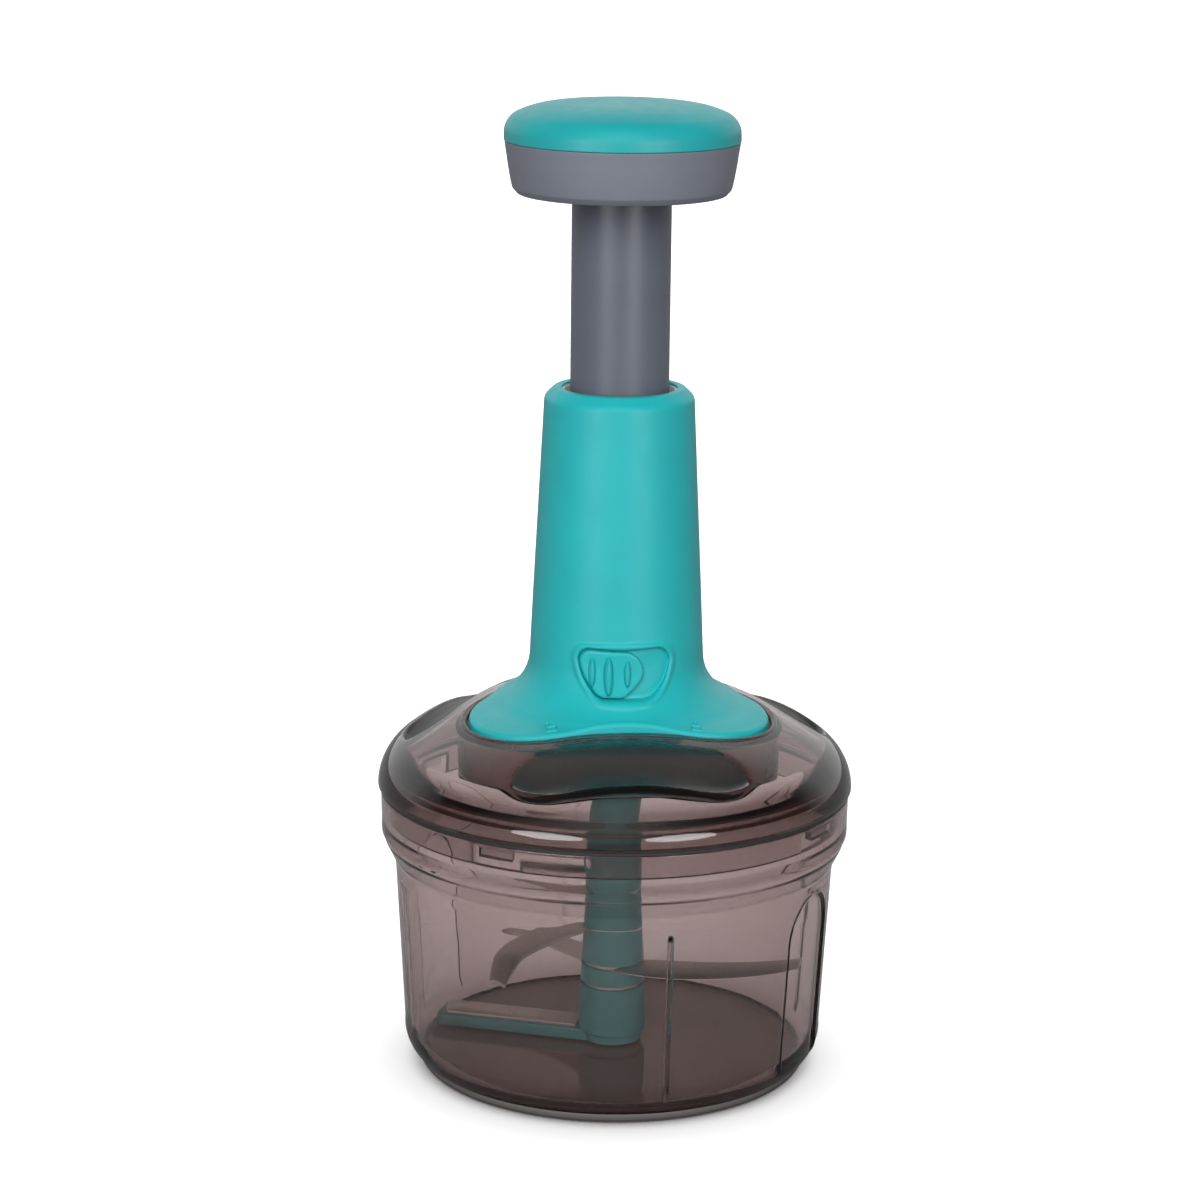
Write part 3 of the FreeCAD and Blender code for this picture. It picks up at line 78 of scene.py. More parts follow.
def arc(start, end, radius, steps):
    """Points on an arc from start, left out, to end; a radius below 0 runs clockwise."""
    start, end = Vector(start), Vector(end)
    chord = end - start
    reach = math.sqrt(radius ** 2 - (chord.length / 2) ** 2)
    left = Vector((-chord.y, chord.x)).normalized()
    centre = start + chord / 2 + left * math.copysign(reach, radius)
    first = math.atan2(start.y - centre.y, start.x - centre.x)
    sweep = math.copysign(2 * math.asin(chord.length / (2 * abs(radius))), radius)
    turns = [first + sweep * step / steps for step in range(1, steps + 1)]
    size = abs(radius)
    return [(centre.x + size * math.cos(turn), centre.y + size * math.sin(turn)) for turn in turns]


def eased(corners, steps=5):
    """Outline whose corners with a third value are arcs, held by a point close to each end."""
    points = [Vector(corner[:2]) for corner in corners]
    made = []
    for index, corner in enumerate(corners):
        here = points[index]
        if len(corner) == 2:
            made.append(tuple(here))
            continue
        before, after = points[index - 1] - here, points[(index + 1) % len(points)] - here
        half = before.angle(after) / 2
        room = 0.47 * min(before.length, after.length)
        cut = min(corner[2] / math.tan(half), room)
        radius = cut * math.tan(half)
        hold = min(cut + 0.6 * radius, room * 1.04)
        before, after = before.normalized(), after.normalized()
        middle = here + (before + after).normalized() * radius / math.sin(half)
        start, end = here + before * cut, here + after * cut
        made.append(tuple(here + before * hold))
        for step in range(steps + 1):
            away = (start - middle).slerp(end - middle, step / steps).normalized()
            made.append(tuple(middle + away * radius))
        made.append(tuple(here + after * hold))
    return made


def spread(start, end, count):
    """Evenly spaced points on a straight line, with both ends."""
    return [tuple(Vector(start).lerp(Vector(end), step / (count - 1))) for step in range(count)]


def smooth(value):
    """Soft step from 0 at 0 to 1 at 1."""
    value = np.clip(value, 0.0, 1.0)
    return value * value * (3 - 2 * value)


def soft_least(one, other, blend):
    """The lower of two heights, with a fillet where they meet."""
    near = np.clip(blend - np.abs(one - other), 0, None) / blend
    return np.minimum(one, other) - near * near * blend / 4


def apart(turns, centre):
    """Angles from a centre, in degrees from -180 to 180."""
    return (turns - centre + 180.0) % 360.0 - 180.0


def swung(across, forward, turn):
    """Place in plan, turned about Z by an angle in radians."""
    return (
        across * math.cos(turn) - forward * math.sin(turn),
        across * math.sin(turn) + forward * math.cos(turn),
    )


# ---- meshes


def placed(name, data):
    """New object in the scene."""
    made = bpy.data.objects.new(name, data)
    bpy.context.scene.collection.objects.link(made)
    return made


def finished(name, form, sharp=None):
    """Object from (points, faces) in millimetres, welded; sharp is the angle that stays an edge."""
    points, faces = form
    mesh = bpy.data.meshes.new(name)
    mesh.from_pydata((np.asarray(points, float) * MM).tolist(), [], faces)
    made = bmesh.new()
    made.from_mesh(mesh)
    bmesh.ops.remove_doubles(made, verts=made.verts, dist=WELD)
    bmesh.ops.dissolve_degenerate(made, edges=made.edges, dist=WELD)
    bmesh.ops.recalc_face_normals(made, faces=made.faces)
    if made.calc_volume(signed=True) < 0:
        bmesh.ops.reverse_faces(made, faces=made.faces)
    made.to_mesh(mesh)
    made.free()
    if sharp:
        mesh.set_sharp_from_angle(angle=math.radians(sharp))
    else:
        mesh.shade_smooth()
    return placed(name, mesh)


def lattice(rows, wrap_rows=True):
    """Points and quads of a grid of points, rows x columns x 3, whose columns close a ring."""
    count, columns = rows.shape[:2]
    row = np.arange(count if wrap_rows else count - 1)[:, None]
    column = np.arange(columns)[None, :]
    next_row, next_column = (row + 1) % count, (column + 1) % columns
    corners = [
        row * columns + column, row * columns + next_column,
        next_row * columns + next_column, next_row * columns + column,
    ]
    faces = np.stack(np.broadcast_arrays(*corners), axis=-1).reshape(-1, 4)
    return rows.reshape(-1, 3), faces.tolist()


def joined(*parts):
    """Several (points, faces) as one."""
    points, faces, count = [], [], 0
    for more_points, more_faces in parts:
        points.append(np.asarray(more_points, float).reshape(-1, 3))
        faces += [[corner + count for corner in face] for face in more_faces]
        count += len(points[-1])
    return np.concatenate(points), faces


def around(turns, radius, height):
    """Grid of points from radii and heights, rows x columns, at the columns' azimuths."""
    angle = np.radians(turns)[None, :]
    radius, height = np.broadcast_arrays(radius, height)
    return np.stack([radius * np.cos(angle), radius * np.sin(angle), height], axis=-1)


def filled(rows, turns):
    """Radii and heights, rows x columns, of (radius, height) rows that may vary along the row."""
    one = np.ones(len(turns))
    return [np.stack([row[side] * one for row in rows]) for side in (0, 1)]


def rounded(radius, height, size, *span):
    """Rows of a round corner about a middle; span is its first and last degree and their count."""
    turns = np.radians(np.linspace(*span))
    return [(radius + size * math.cos(turn), height + size * math.sin(turn)) for turn in turns]


def turned_form(profile, closed=True, columns=COLUMNS):
    """Solid of revolution of an outline; an open outline starts and ends on the axis."""
    turns = np.arange(columns) * 360.0 / columns
    return lattice(around(turns, *filled(profile, turns)), wrap_rows=closed)


def capped_loft(rings):
    """Solid through rings of points, with its two ends closed."""
    rings = np.asarray(rings, float)
    count, columns = rings.shape[:2]
    points, faces = lattice(rings, wrap_rows=False)
    faces.append(list(range(columns)))
    faces.append([(count - 1) * columns + column for column in range(columns)])
    return points, faces


# ---- materials


def add(tree, kind, feeds=(), **settings):
    """New node. feeds gives its inputs: a number or colour, or the socket that leads there."""
    made = tree.nodes.new(kind)
    for key, value in settings.items():
        setattr(made, key, value)
    for key, value in dict(feeds).items():
        if isinstance(value, bpy.types.NodeSocket):
            tree.links.new(value, made.inputs[key])
        else:
            made.inputs[key].default_value = value
    return made


def figured(tree, operation, *values):
    """Result of a Math node on numbers or sockets."""
    feeds = dict(enumerate(values))
    return add(tree, "ShaderNodeMath", feeds, operation=operation).outputs[0]


def mapped(tree, value, start, end, low=0.0, high=1.0):
    """A value that runs from low to high as another runs from start to end."""
    feeds = {"Value": value, "From Min": start, "From Max": end, "To Min": low, "To Max": high}
    return add(tree, "ShaderNodeMapRange", feeds).outputs["Result"]


def between(tree, value, low, high):
    """Noise, which keeps near its middle, spread from low to high."""
    return mapped(tree, value, 0.25, 0.75, low, high)


def mixed(tree, factor, one, other):
    """Colour between two, by a factor."""
    return add(tree, "ShaderNodeMix", {0: factor, 6: one, 7: other}, data_type="RGBA").outputs[2]


def linear(red, green, blue):
    """Colour of the screen's 0 to 255 as linear light; none of them is near black."""
    return tuple(((level / 255 + 0.055) / 1.055) ** 2.4 for level in (red, green, blue)) + (1.0,)


WHITE = (1.0, 1.0, 1.0, 1.0)


def shaded(colour, factor):
    """Colour made darker or lighter by a factor."""
    return tuple(level * factor for level in colour[:3]) + (1.0,)


def ramp(tree, factor, low, high, start=0.3, end=0.7):
    """Colour that runs from low to high as a factor runs from start to end."""
    made = add(tree, "ShaderNodeValToRGB", {"Fac": factor})
    for element, place, colour in zip(made.color_ramp.elements, (start, end), (low, high)):
        element.position = place
        element.color = colour
    return made.outputs["Color"]


def grain(tree, scale, detail=3.0, stretch=(1.0, 1.0, 1.0), roughness=0.5):
    """Noise in the object's own space; its scale is in lumps per metre."""
    place = add(tree, "ShaderNodeTexCoord").outputs["Object"]
    drawn = add(tree, "ShaderNodeMapping", {"Vector": place, "Scale": stretch}).outputs["Vector"]
    feeds = {"Vector": drawn, "Scale": scale, "Detail": detail, "Roughness": roughness}
    return add(tree, "ShaderNodeTexNoise", feeds).outputs["Fac"]


def new_material(name, **fixed):
    """Material with its tree and its Principled shader; fixed are the shader's own sockets."""
    made = bpy.data.materials.new(name)
    made.use_nodes = True
    shader = made.node_tree.nodes["Principled BSDF"]
    for key, value in fixed.items():
        shader.inputs[key.replace("_", " ")].default_value = value
    return made, made.node_tree, shader


def feed(tree, shader, **sources):
    """Lead sockets to a shader's own."""
    for key, source in sources.items():
        tree.links.new(source, shader.inputs[key.replace("_", " ")])


def bumped(tree, height, depth_mm):
    """Normal of a bump of some depth."""
    feeds = {"Height": height, "Distance": depth_mm * MM, "Strength": 1.0}
    return add(tree, "ShaderNodeBump", feeds).outputs["Normal"]


DRIFTS, RUBS, SCRATCHES, SMUDGES = 55.0, 240.0, 900.0, 70.0
SCRATCH_MM = 0.004


def moulded(name, colour, rough, texture_mm, depth_mm, spread_of_tint=0.04):
    """Moulded plastic or rubber: slow drifts of tint, a spark-eroded grain and rubbed patches."""
    made, tree, shader = new_material(name)
    cloud = grain(tree, DRIFTS, 4.0)
    tint = ramp(tree, cloud, shaded(colour, 1 - spread_of_tint), shaded(colour, 1 + spread_of_tint))
    rub = grain(tree, RUBS, 5.0, (1.0, 1.0, 0.35))
    spark = grain(tree, 1 / (texture_mm * MM), 2.0)
    feed(
        tree, shader, Base_Color=tint, Roughness=between(tree, rub, rough - 0.05, rough + 0.05),
        Normal=bumped(tree, spark, depth_mm),
    )
    return made


def metal(name, colour, rough, stretch):
    """Steel with fine scratches along one way, drawn out by stretch, and faint smudges."""
    made, tree, shader = new_material(name, Metallic=1.0)
    lines = grain(tree, SCRATCHES, 4.0, stretch, 0.65)
    smudge = grain(tree, SMUDGES, 3.0)
    tint = ramp(tree, lines, shaded(colour, 0.82), shaded(colour, 1.08))
    wear = figured(tree, "MULTIPLY", lines, smudge)
    feed(
        tree, shader, Base_Color=tint, Roughness=between(tree, wear, rough * 1.25, rough * 0.75),
        Normal=bumped(tree, lines, SCRATCH_MM),
    )
    return made


PAD_PALE, PAD_DARK = linear(216, 209, 205), linear(104, 99, 97)
PAD_RING = (0.0578, 0.0588)
PAD_DRIFTS, PAD_GRAIN, PAD_GRAIN_MM = 60.0, 4500.0, 0.012


def pad():
    """Soft non-slip pad: a pale disc with a dark rim band, both with a fine moulded grain."""
    made, tree, shader = new_material("foot_silicone")
    feeds = {0: add(tree, "ShaderNodeTexCoord").outputs["Object"], 1: (1.0, 1.0, 0.0)}
    level = add(tree, "ShaderNodeVectorMath", feeds, operation="MULTIPLY").outputs[0]
    radius = add(tree, "ShaderNodeVectorMath", {0: level}, operation="LENGTH").outputs["Value"]
    rim = mapped(tree, radius, *PAD_RING)
    cloud = grain(tree, PAD_DRIFTS, 4.0)
    pale = ramp(tree, cloud, shaded(PAD_PALE, 0.95), shaded(PAD_PALE, 1.04))
    tint = mixed(tree, rim, pale, PAD_DARK)
    feed(
        tree, shader, Base_Color=tint, Roughness=between(tree, cloud, 0.55, 0.68),
        Normal=bumped(tree, grain(tree, PAD_GRAIN, 2.0), PAD_GRAIN_MM),
    )
    return made


SMOKE_IOR = 1.49
SMOKE_TAKEN, SMOKE_DENSITY = (219.0, 272.0, 278.0), 400.0
SMOKE_HAZE, HAZE_PATCHES = 0.03, 140.0
SMOKE_RIPPLE_MM, RIPPLES, SMOKE_DRIFTS = 0.10, 34.0, 26.0
# the scoops' dark teal tint is painted shade and painted teal reflection, not the plastic's own
# colour
SATIN_ROUGH, SCOOP_PAINTED_SHADE, LAMP_SHARE = 0.40, (0.17, 0.31, 0.33, 1.0), 0.96


def smoke():
    """Clear smoke-tinted plastic that darkens with depth, with flow marks and rough-finished scoops
    that also carry a painted dark teal shade.
    """
    made, tree, shader = new_material("smoke_plastic", IOR=SMOKE_IOR, Transmission_Weight=1.0)
    haze = between(tree, grain(tree, HAZE_PATCHES, 5.0), 0.0, SMOKE_HAZE)
    satin = add(tree, "ShaderNodeAttribute", attribute_name="satin").outputs["Fac"]
    soft = figured(tree, "MULTIPLY_ADD", satin, SATIN_ROUGH, haze)
    clear = ramp(tree, grain(tree, SMOKE_DRIFTS, 3.0), shaded(WHITE, 0.97), WHITE)
    # painted shade: the textured scoops are tinted dark teal, standing in for shade and teal
    # reflection
    tint = mixed(tree, satin, clear, SCOOP_PAINTED_SHADE)
    ripple = grain(tree, RIPPLES, 1.0, (1.0, 1.0, 0.4))
    flow = bumped(tree, ripple, SMOKE_RIPPLE_MM)
    feed(tree, shader, Base_Color=tint, Roughness=soft, Normal=flow)
    passing = add(tree, "ShaderNodeBsdfTransparent", {"Color": shaded(WHITE, LAMP_SHARE)})
    lamp_ray = add(tree, "ShaderNodeLightPath").outputs["Is Shadow Ray"]
    feeds = {"Fac": lamp_ray, 1: shader.outputs["BSDF"], 2: passing.outputs["BSDF"]}
    surface = add(tree, "ShaderNodeMixShader", feeds).outputs["Shader"]
    left = tuple(1 - taken / SMOKE_DENSITY for taken in SMOKE_TAKEN) + (1.0,)
    inside = add(tree, "ShaderNodeVolumeAbsorption", {"Color": left, "Density": SMOKE_DENSITY})
    feed(tree, tree.nodes["Material Output"], Surface=surface, Volume=inside.outputs["Volume"])
    return made


TEAL = (0.012, 0.455, 0.480, 1.0)
TEAL_STEM = (0.085, 0.275, 0.290, 1.0)

# name, colour, roughness, grain's size and depth in millimetres, spread of tint
PLASTICS = (
    ("teal_plastic", TEAL, 0.46, 0.28, 0.010),
    ("teal_slider", shaded(TEAL, 1.03), 0.40, 0.30, 0.006),
    ("stem_teal", TEAL_STEM, 0.38, 0.45, 0.002, 0.06),
    ("grey_plastic", linear(121, 125, 137), 0.50, 0.30, 0.012, 0.03),
    ("tray_plastic", linear(214, 214, 216), 0.50, 0.30, 0.010, 0.03),
    ("tube_plastic", linear(97, 102, 114), 0.36, 0.40, 0.006, 0.03),
    ("pale_bush", linear(205, 208, 212), 0.35, 0.40, 0.004, 0.02),
    ("dark_plastic", linear(52, 52, 55), 0.48, 0.30, 0.010),
    ("white_acetal", linear(228, 228, 222), 0.32, 0.50, 0.004, 0.02),
    ("dark_silicone", linear(40, 37, 36), 0.62, 0.22, 0.012, 0.08),
    # painted shade: the housing's teal darkened by 0.86 so the knob's lit top reads dimmer
    ("cap_teal", shaded(TEAL, 0.86), 0.44, 0.30, 0.008),
)
# name, colour, roughness, stretch of the scratches
STEELS = (
    ("blade_steel", linear(220, 214, 209), 0.36, (1.0, 1.0, 14.0)),
    ("bright_steel", linear(206, 206, 205), 0.22, (1.0, 1.0, 16.0)),
    ("spring_steel", linear(176, 176, 178), 0.28, (3.0, 3.0, 3.0)),
)
MATERIALS = {"smoke_plastic": smoke(), "foot_silicone": pad()}
MATERIALS.update((row[0], moulded(*row)) for row in PLASTICS)
MATERIALS.update((row[0], metal(*row)) for row in STEELS)


def dressed(name, form, body, slot, *nodes, material=None, sharp=None):
    """New piece with its material, named or else its slot's, on its body; the nodes it stands for
    are hidden.
    """
    piece = finished(name, form, sharp)
    piece.data.materials.append(MATERIALS[material or slot])
    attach(piece, body)
    if nodes:
        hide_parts(*nodes)
    return piece


# ---- bowl

WALL = 2.4
RIB_TURNS = [10.0 + 90.0 * index for index in range(4)]
RIB_HALF, RIB_DEPTH, RIB_LOW, RIB_TOP = 0.65, 1.1, 9.0, 59.0
LUG_TURNS = [-124.5 + 90.0 * index for index in range(4)]
LUG_HALF, LUG_LOW, LUG_TOP, LUG_DEPTH = 4.6, 82.2, 84.6, 2.0
GRIP_TURNS, GRIP_EDGE_TURN = (-31.0, 149.0), 11.4
GRIP_HALF, GRIP_LOW, GRIP_HIGH, GRIP_DEPTH = 12.6, 6.0, 61.9, 0.6
GRIP_EASE, LIP_RISE, LIP_PLACE, LIP_WIDTH = 0.5, 0.32, 0.45, 0.34
BODY_LOW, BODY_HIGH = (64.3, 13.0), (67.1, 62.6)
BOWL_UNDER, BOWL_FLOOR, BOWL_MOUTH = 3.03, 4.8, 69.0
BOWL_SHOULDER, BOWL_NECK = (70.4, 71.4), (71.4, 76.4)


def bowl_columns():
    """Azimuths of the bowl's columns: even, and close together at ribs, lugs and grip recesses."""
    turns = [np.arange(160) * 2.25]
    turns += [centre + np.linspace(-1.4, 1.4, 13) for centre in RIB_TURNS]
    for side in (-1, 1):
        turns += [centre + side * LUG_HALF + np.linspace(-0.4, 0.4, 7) for centre in LUG_TURNS]
        turns += [
            centre + side * GRIP_EDGE_TURN + np.linspace(-1.1, 1.1, 18) for centre in GRIP_TURNS
        ]
    turns += [centre + np.linspace(-10.2, 10.2, 38) for centre in GRIP_TURNS]
    return np.unique((np.concatenate(turns) % 360.0).round(3))


def grip_recess(turns, radius, height):
    """Depth of the arched grip recesses and their raised lips, at points of the bowl's outside."""
    depth = np.zeros(height.shape)
    arch = GRIP_HIGH - GRIP_HALF
    for centre in GRIP_TURNS:
        near = apart(turns, centre)
        across = np.where(np.abs(near) < 40.0, radius * np.sin(np.radians(near)), 99.0)
        past_side = np.hypot(across, np.clip(height - arch, 0, None)) - GRIP_HALF
        inside = smooth((0.1 - past_side) / GRIP_EASE)
        lip = np.exp(-((past_side - LIP_PLACE) / LIP_WIDTH) ** 2)
        low_end = smooth((height - GRIP_LOW) / 3.0)
        depth = depth + (GRIP_DEPTH * inside - LIP_RISE * lip) * low_end
    return depth


def bowl_form():
    """The bowl from its underside up the outside, over the rim and down the inside."""
    turns = bowl_columns()
    outside = [(0.0, BOWL_UNDER), (30.0, BOWL_UNDER), (57.0, BOWL_UNDER)]
    outside += eased([(57.5, BOWL_UNDER), (60.2, BOWL_UNDER, 0.6), (60.4, 3.6)])[:-2]
    outside += arc(outside[-1], BODY_LOW, 10.5, 10)[:-1]
    outside += spread(BODY_LOW, (66.05, 44.0), 12) + spread((66.12, 45.2), BODY_HIGH, 38)
    shoulder = [BODY_HIGH, (67.5, 65.6, 3.0), (*BOWL_SHOULDER, 2.0), BOWL_NECK]
    outside += eased(shoulder)[1:-1]
    outside += arc(BOWL_SHOULDER, BOWL_NECK, 8.0, 8)[3:] + spread((71.45, 79.0), (71.58, 85.6), 4)
    rim = [(71.58, 85.7), (71.6, 86.6, 0.5), (BOWL_MOUTH, 86.6, 0.5), (BOWL_MOUTH, 85.6)]
    outside += eased(rim)
    inside = spread((BOWL_MOUTH, 85.2), (BOWL_MOUTH, 81.6), 19)
    inside += spread((BOWL_MOUTH, 81.0), (BOWL_MOUTH, 78.6), 3)
    lower = [
        (BOWL_MOUTH, 78.2), (BOWL_MOUTH, 77.4, 0.7), (68.0, 72.4, 2.0), (65.1, 66.6, 2.0),
        (64.75, 63.6),
    ]
    inside += eased(lower)[1:]
    inside += spread((64.7, 62.6), (64.62, 61.2), 3) + spread((64.6, 60.6), (64.45, 57.4), 12)
    inside += spread((64.4, 56.0), (61.95, 14.0), 14)
    inside += arc((57.0, BOWL_FLOOR), (61.9, 13.0), 9.0, 12)[::-1]
    inside += [(radius, BOWL_FLOOR) for radius in (57.0, 50.0, 30.0, 12.0)]
    dimple = [(10.0, BOWL_FLOOR), (5.2, BOWL_FLOOR, 0.4), (5.2, 4.2, 0.2), (0.0, 4.2)]
    inside += eased(dimple)[1:]
    radius, height = filled(outside + inside, turns)
    turn = np.broadcast_to(turns, radius.shape)
    outer = np.arange(len(radius))[:, None] < len(outside)
    gripped = outer & (height > 5.0)
    radius = radius - np.where(gripped, grip_recess(turn, radius, height), 0.0)
    for centre in RIB_TURNS:
        across = radius * np.radians(apart(turn, centre))
        form = smooth((RIB_HALF + 0.15 - np.abs(across)) / 0.3)
        rise = smooth((height - RIB_LOW + 1.5) / 3.0) * smooth((RIB_TOP + 1.2 - height) / 2.6)
        radius = radius - np.where(~outer & (radius > 50.0), RIB_DEPTH * form * rise, 0.0)
    for centre in LUG_TURNS:
        form = smooth((LUG_HALF + 0.12 - np.abs(apart(turn, centre))) / 0.24)
        rise = smooth((height - LUG_LOW + 0.15) / 0.3) * smooth((LUG_TOP + 0.15 - height) / 0.3)
        radius = radius - np.where(~outer, LUG_DEPTH * form * rise, 0.0)
    return lattice(around(turns, radius, height), wrap_rows=False)


dressed("bowl_shell", bowl_form(), "bowl_unit", "smoke_plastic", "bowl")

FOOT_SUNK, FOOT_TOP, FOOT_TURN = 0.9, 3.12, (58.9, 0.35)
foot_outline = [(0.0, FOOT_SUNK), (44.0, FOOT_SUNK)]
for groove in (46.0, 50.0, 54.0):
    ring = [(groove - 1.4, FOOT_SUNK), (groove - 0.9, 0.0, 0.25)]
    ring += [(groove + 0.9, 0.0, 0.25), (groove + 1.4, FOOT_SUNK)]
    foot_outline += eased(ring, steps=3)
foot_outline += eased([(56.0, FOOT_SUNK), (56.4, 0.0, 0.2), (58.0, 0.0, 0.5), FOOT_TURN])
foot_outline += arc(FOOT_TURN, (59.95, 2.6), 2.6, 5)
foot_outline += [(59.9, 2.95), (57.4, 3.0), (56.9, FOOT_TOP), (30.0, FOOT_TOP), (0.0, FOOT_TOP)]
dressed(
    "foot_ring", turned_form(foot_outline, closed=False), "bowl_unit", "dark_silicone",
    "non_slip_base", material="foot_silicone",
)

seal_outline = eased([
    (68.95, 86.65, 0.25), (71.85, 86.65, 0.35), (71.6, 87.4, 0.15), (71.85, 88.15, 0.35),
    (68.95, 88.15, 0.25),
])
dressed("rim_gasket", turned_form(seal_outline), "rim_seal", "dark_silicone", "lid_seal")

# ---- lid

LOBE_DISTANCE, LOBE_RADIUS = 24.0, 24.5
BITE_RADIUS = 35.5
BITE_ARC = BITE_RADIUS ** 2 + LOBE_DISTANCE ** 2 - BITE_RADIUS * LOBE_DISTANCE - LOBE_RADIUS ** 2
BITE_ARC /= 2 * LOBE_RADIUS + LOBE_DISTANCE - 2 * BITE_RADIUS
CROWN_CENTRE, CROWN_ARC = (29.3, 54.2), 59.7
EDGE_START, EDGE_ARC = 66.0, 16.9
LID_EDGE, CROWN_WALL = (72.48, 88.7), 1.8
WELL_FLOOR, WELL_UNDER, WELL_GAP, SHAFT_HOLE = 94.6, 92.0, 0.6, 8.0
WELL_ROUND, RIM_ROUND, UNDER_ROUND = 1.6, 1.15, 2.0
SCOOP_PLACE, SCOOP_STRAIGHT, SCOOP_TAPER = 52.2, 23.0, 1.4
SCOOP_HALF, SCOOP_DEPTH, SCOOP_REACH, SCOOP_FADE = 8.3, 4.2, 63.2, 0.6
SKIRT_OUT, SKIRT_IN, SKIRT_FOOT = 68.4, 66.2, 78.8
GATE_START, GATE_SWEEP, TRACK_SWEEP = -132.0, 14.0, 31.0
TRACK_LOW, TRACK_TOP, TRACK_DEPTH = 81.6, 85.2, 1.75


def lobed(turns, grow):
    """Distance of the three-lobed outline, grown outwards, at azimuths in degrees."""
    near_bite = np.radians(apart(turns % 120.0, 30.0))
    half_third = math.radians(60.0)
    near_lobe = half_third - np.abs(near_bite)
    lobe, bite, far = LOBE_RADIUS + grow, BITE_ARC - grow, BITE_ARC + BITE_RADIUS
    from_bite = np.array([*swung(LOBE_DISTANCE, 0.0, half_third)]) - (far, 0.0)
    meet = np.array([far, 0.0]) + from_bite / np.linalg.norm(from_bite) * bite
    limit = math.atan2(meet[1], meet[0])
    half_lobe = np.clip(lobe ** 2 - (LOBE_DISTANCE * np.sin(near_lobe)) ** 2, 0, None) ** 0.5
    half_bite = np.clip(bite ** 2 - (far * np.sin(near_bite)) ** 2, 0, None) ** 0.5
    on_lobe = LOBE_DISTANCE * np.cos(near_lobe) + half_lobe
    on_bite = far * np.cos(near_bite) - half_bite
    return np.where(np.abs(near_bite) < limit, on_bite, on_lobe)


def crown_height(radius, drop=0.0):
    """Height of the lid's crown, or of its underside for a drop, at a radius."""
    across = np.clip(radius - CROWN_CENTRE[0], 0, None)
    return CROWN_CENTRE[1] + np.sqrt(np.clip((CROWN_ARC - drop) ** 2 - across ** 2, 1.0, None))


def scoop_sink(turns, radius, grow):
    """Depth of the finger scoops, each a dish with round ends that runs out at the lid's edge."""
    near = np.radians((turns + 30.0) % 120.0 - 60.0)
    along, out = radius * np.sin(near), radius * np.cos(near)
    past_end = np.clip(np.abs(along) - SCOOP_STRAIGHT, 0, None) / SCOOP_TAPER
    away = np.hypot(past_end, out - SCOOP_PLACE)
    half = SCOOP_HALF + grow
    dish = (half ** 2 + SCOOP_DEPTH ** 2) / (2 * SCOOP_DEPTH)
    run_out = SCOOP_FADE * np.clip(radius - SCOOP_REACH, 0, None) ** 2
    return np.sqrt(np.clip(dish ** 2 - away ** 2, 0.01, None)) - (dish - SCOOP_DEPTH) - run_out


def crown_top(turns, radius, drop=0.0, blend=0.9):
    """The crown with its scoops, whose rims are softened; drop gives its underside."""
    flat = crown_height(radius, drop)
    return soft_least(flat, flat - scoop_sink(turns, radius, drop * 0.5), blend)


def cut_tracks(turns, radius, height):
    """Bayonet tracks in the skirt's outside: each a gate from below and a run to its left."""
    skirt = (np.abs(radius - SKIRT_OUT) < 0.01) & (height < 87.0)
    for index in range(4):
        middle = GATE_START + 90.0 * index + TRACK_SWEEP / 2
        along = apart(np.broadcast_to(turns, radius.shape), middle) + TRACK_SWEEP / 2
        start = smooth((along + 0.3) / 0.6)
        in_track = start * smooth((TRACK_SWEEP + 0.3 - along) / 0.6)
        in_gate = start * smooth((GATE_SWEEP + 0.9 - along) / 1.8)
        band = skirt & (height > TRACK_LOW) & (height < TRACK_TOP)
        below = skirt & (height <= TRACK_LOW)
        radius = radius - TRACK_DEPTH * np.where(band, in_track, np.where(below, in_gate, 0.0))
    return radius


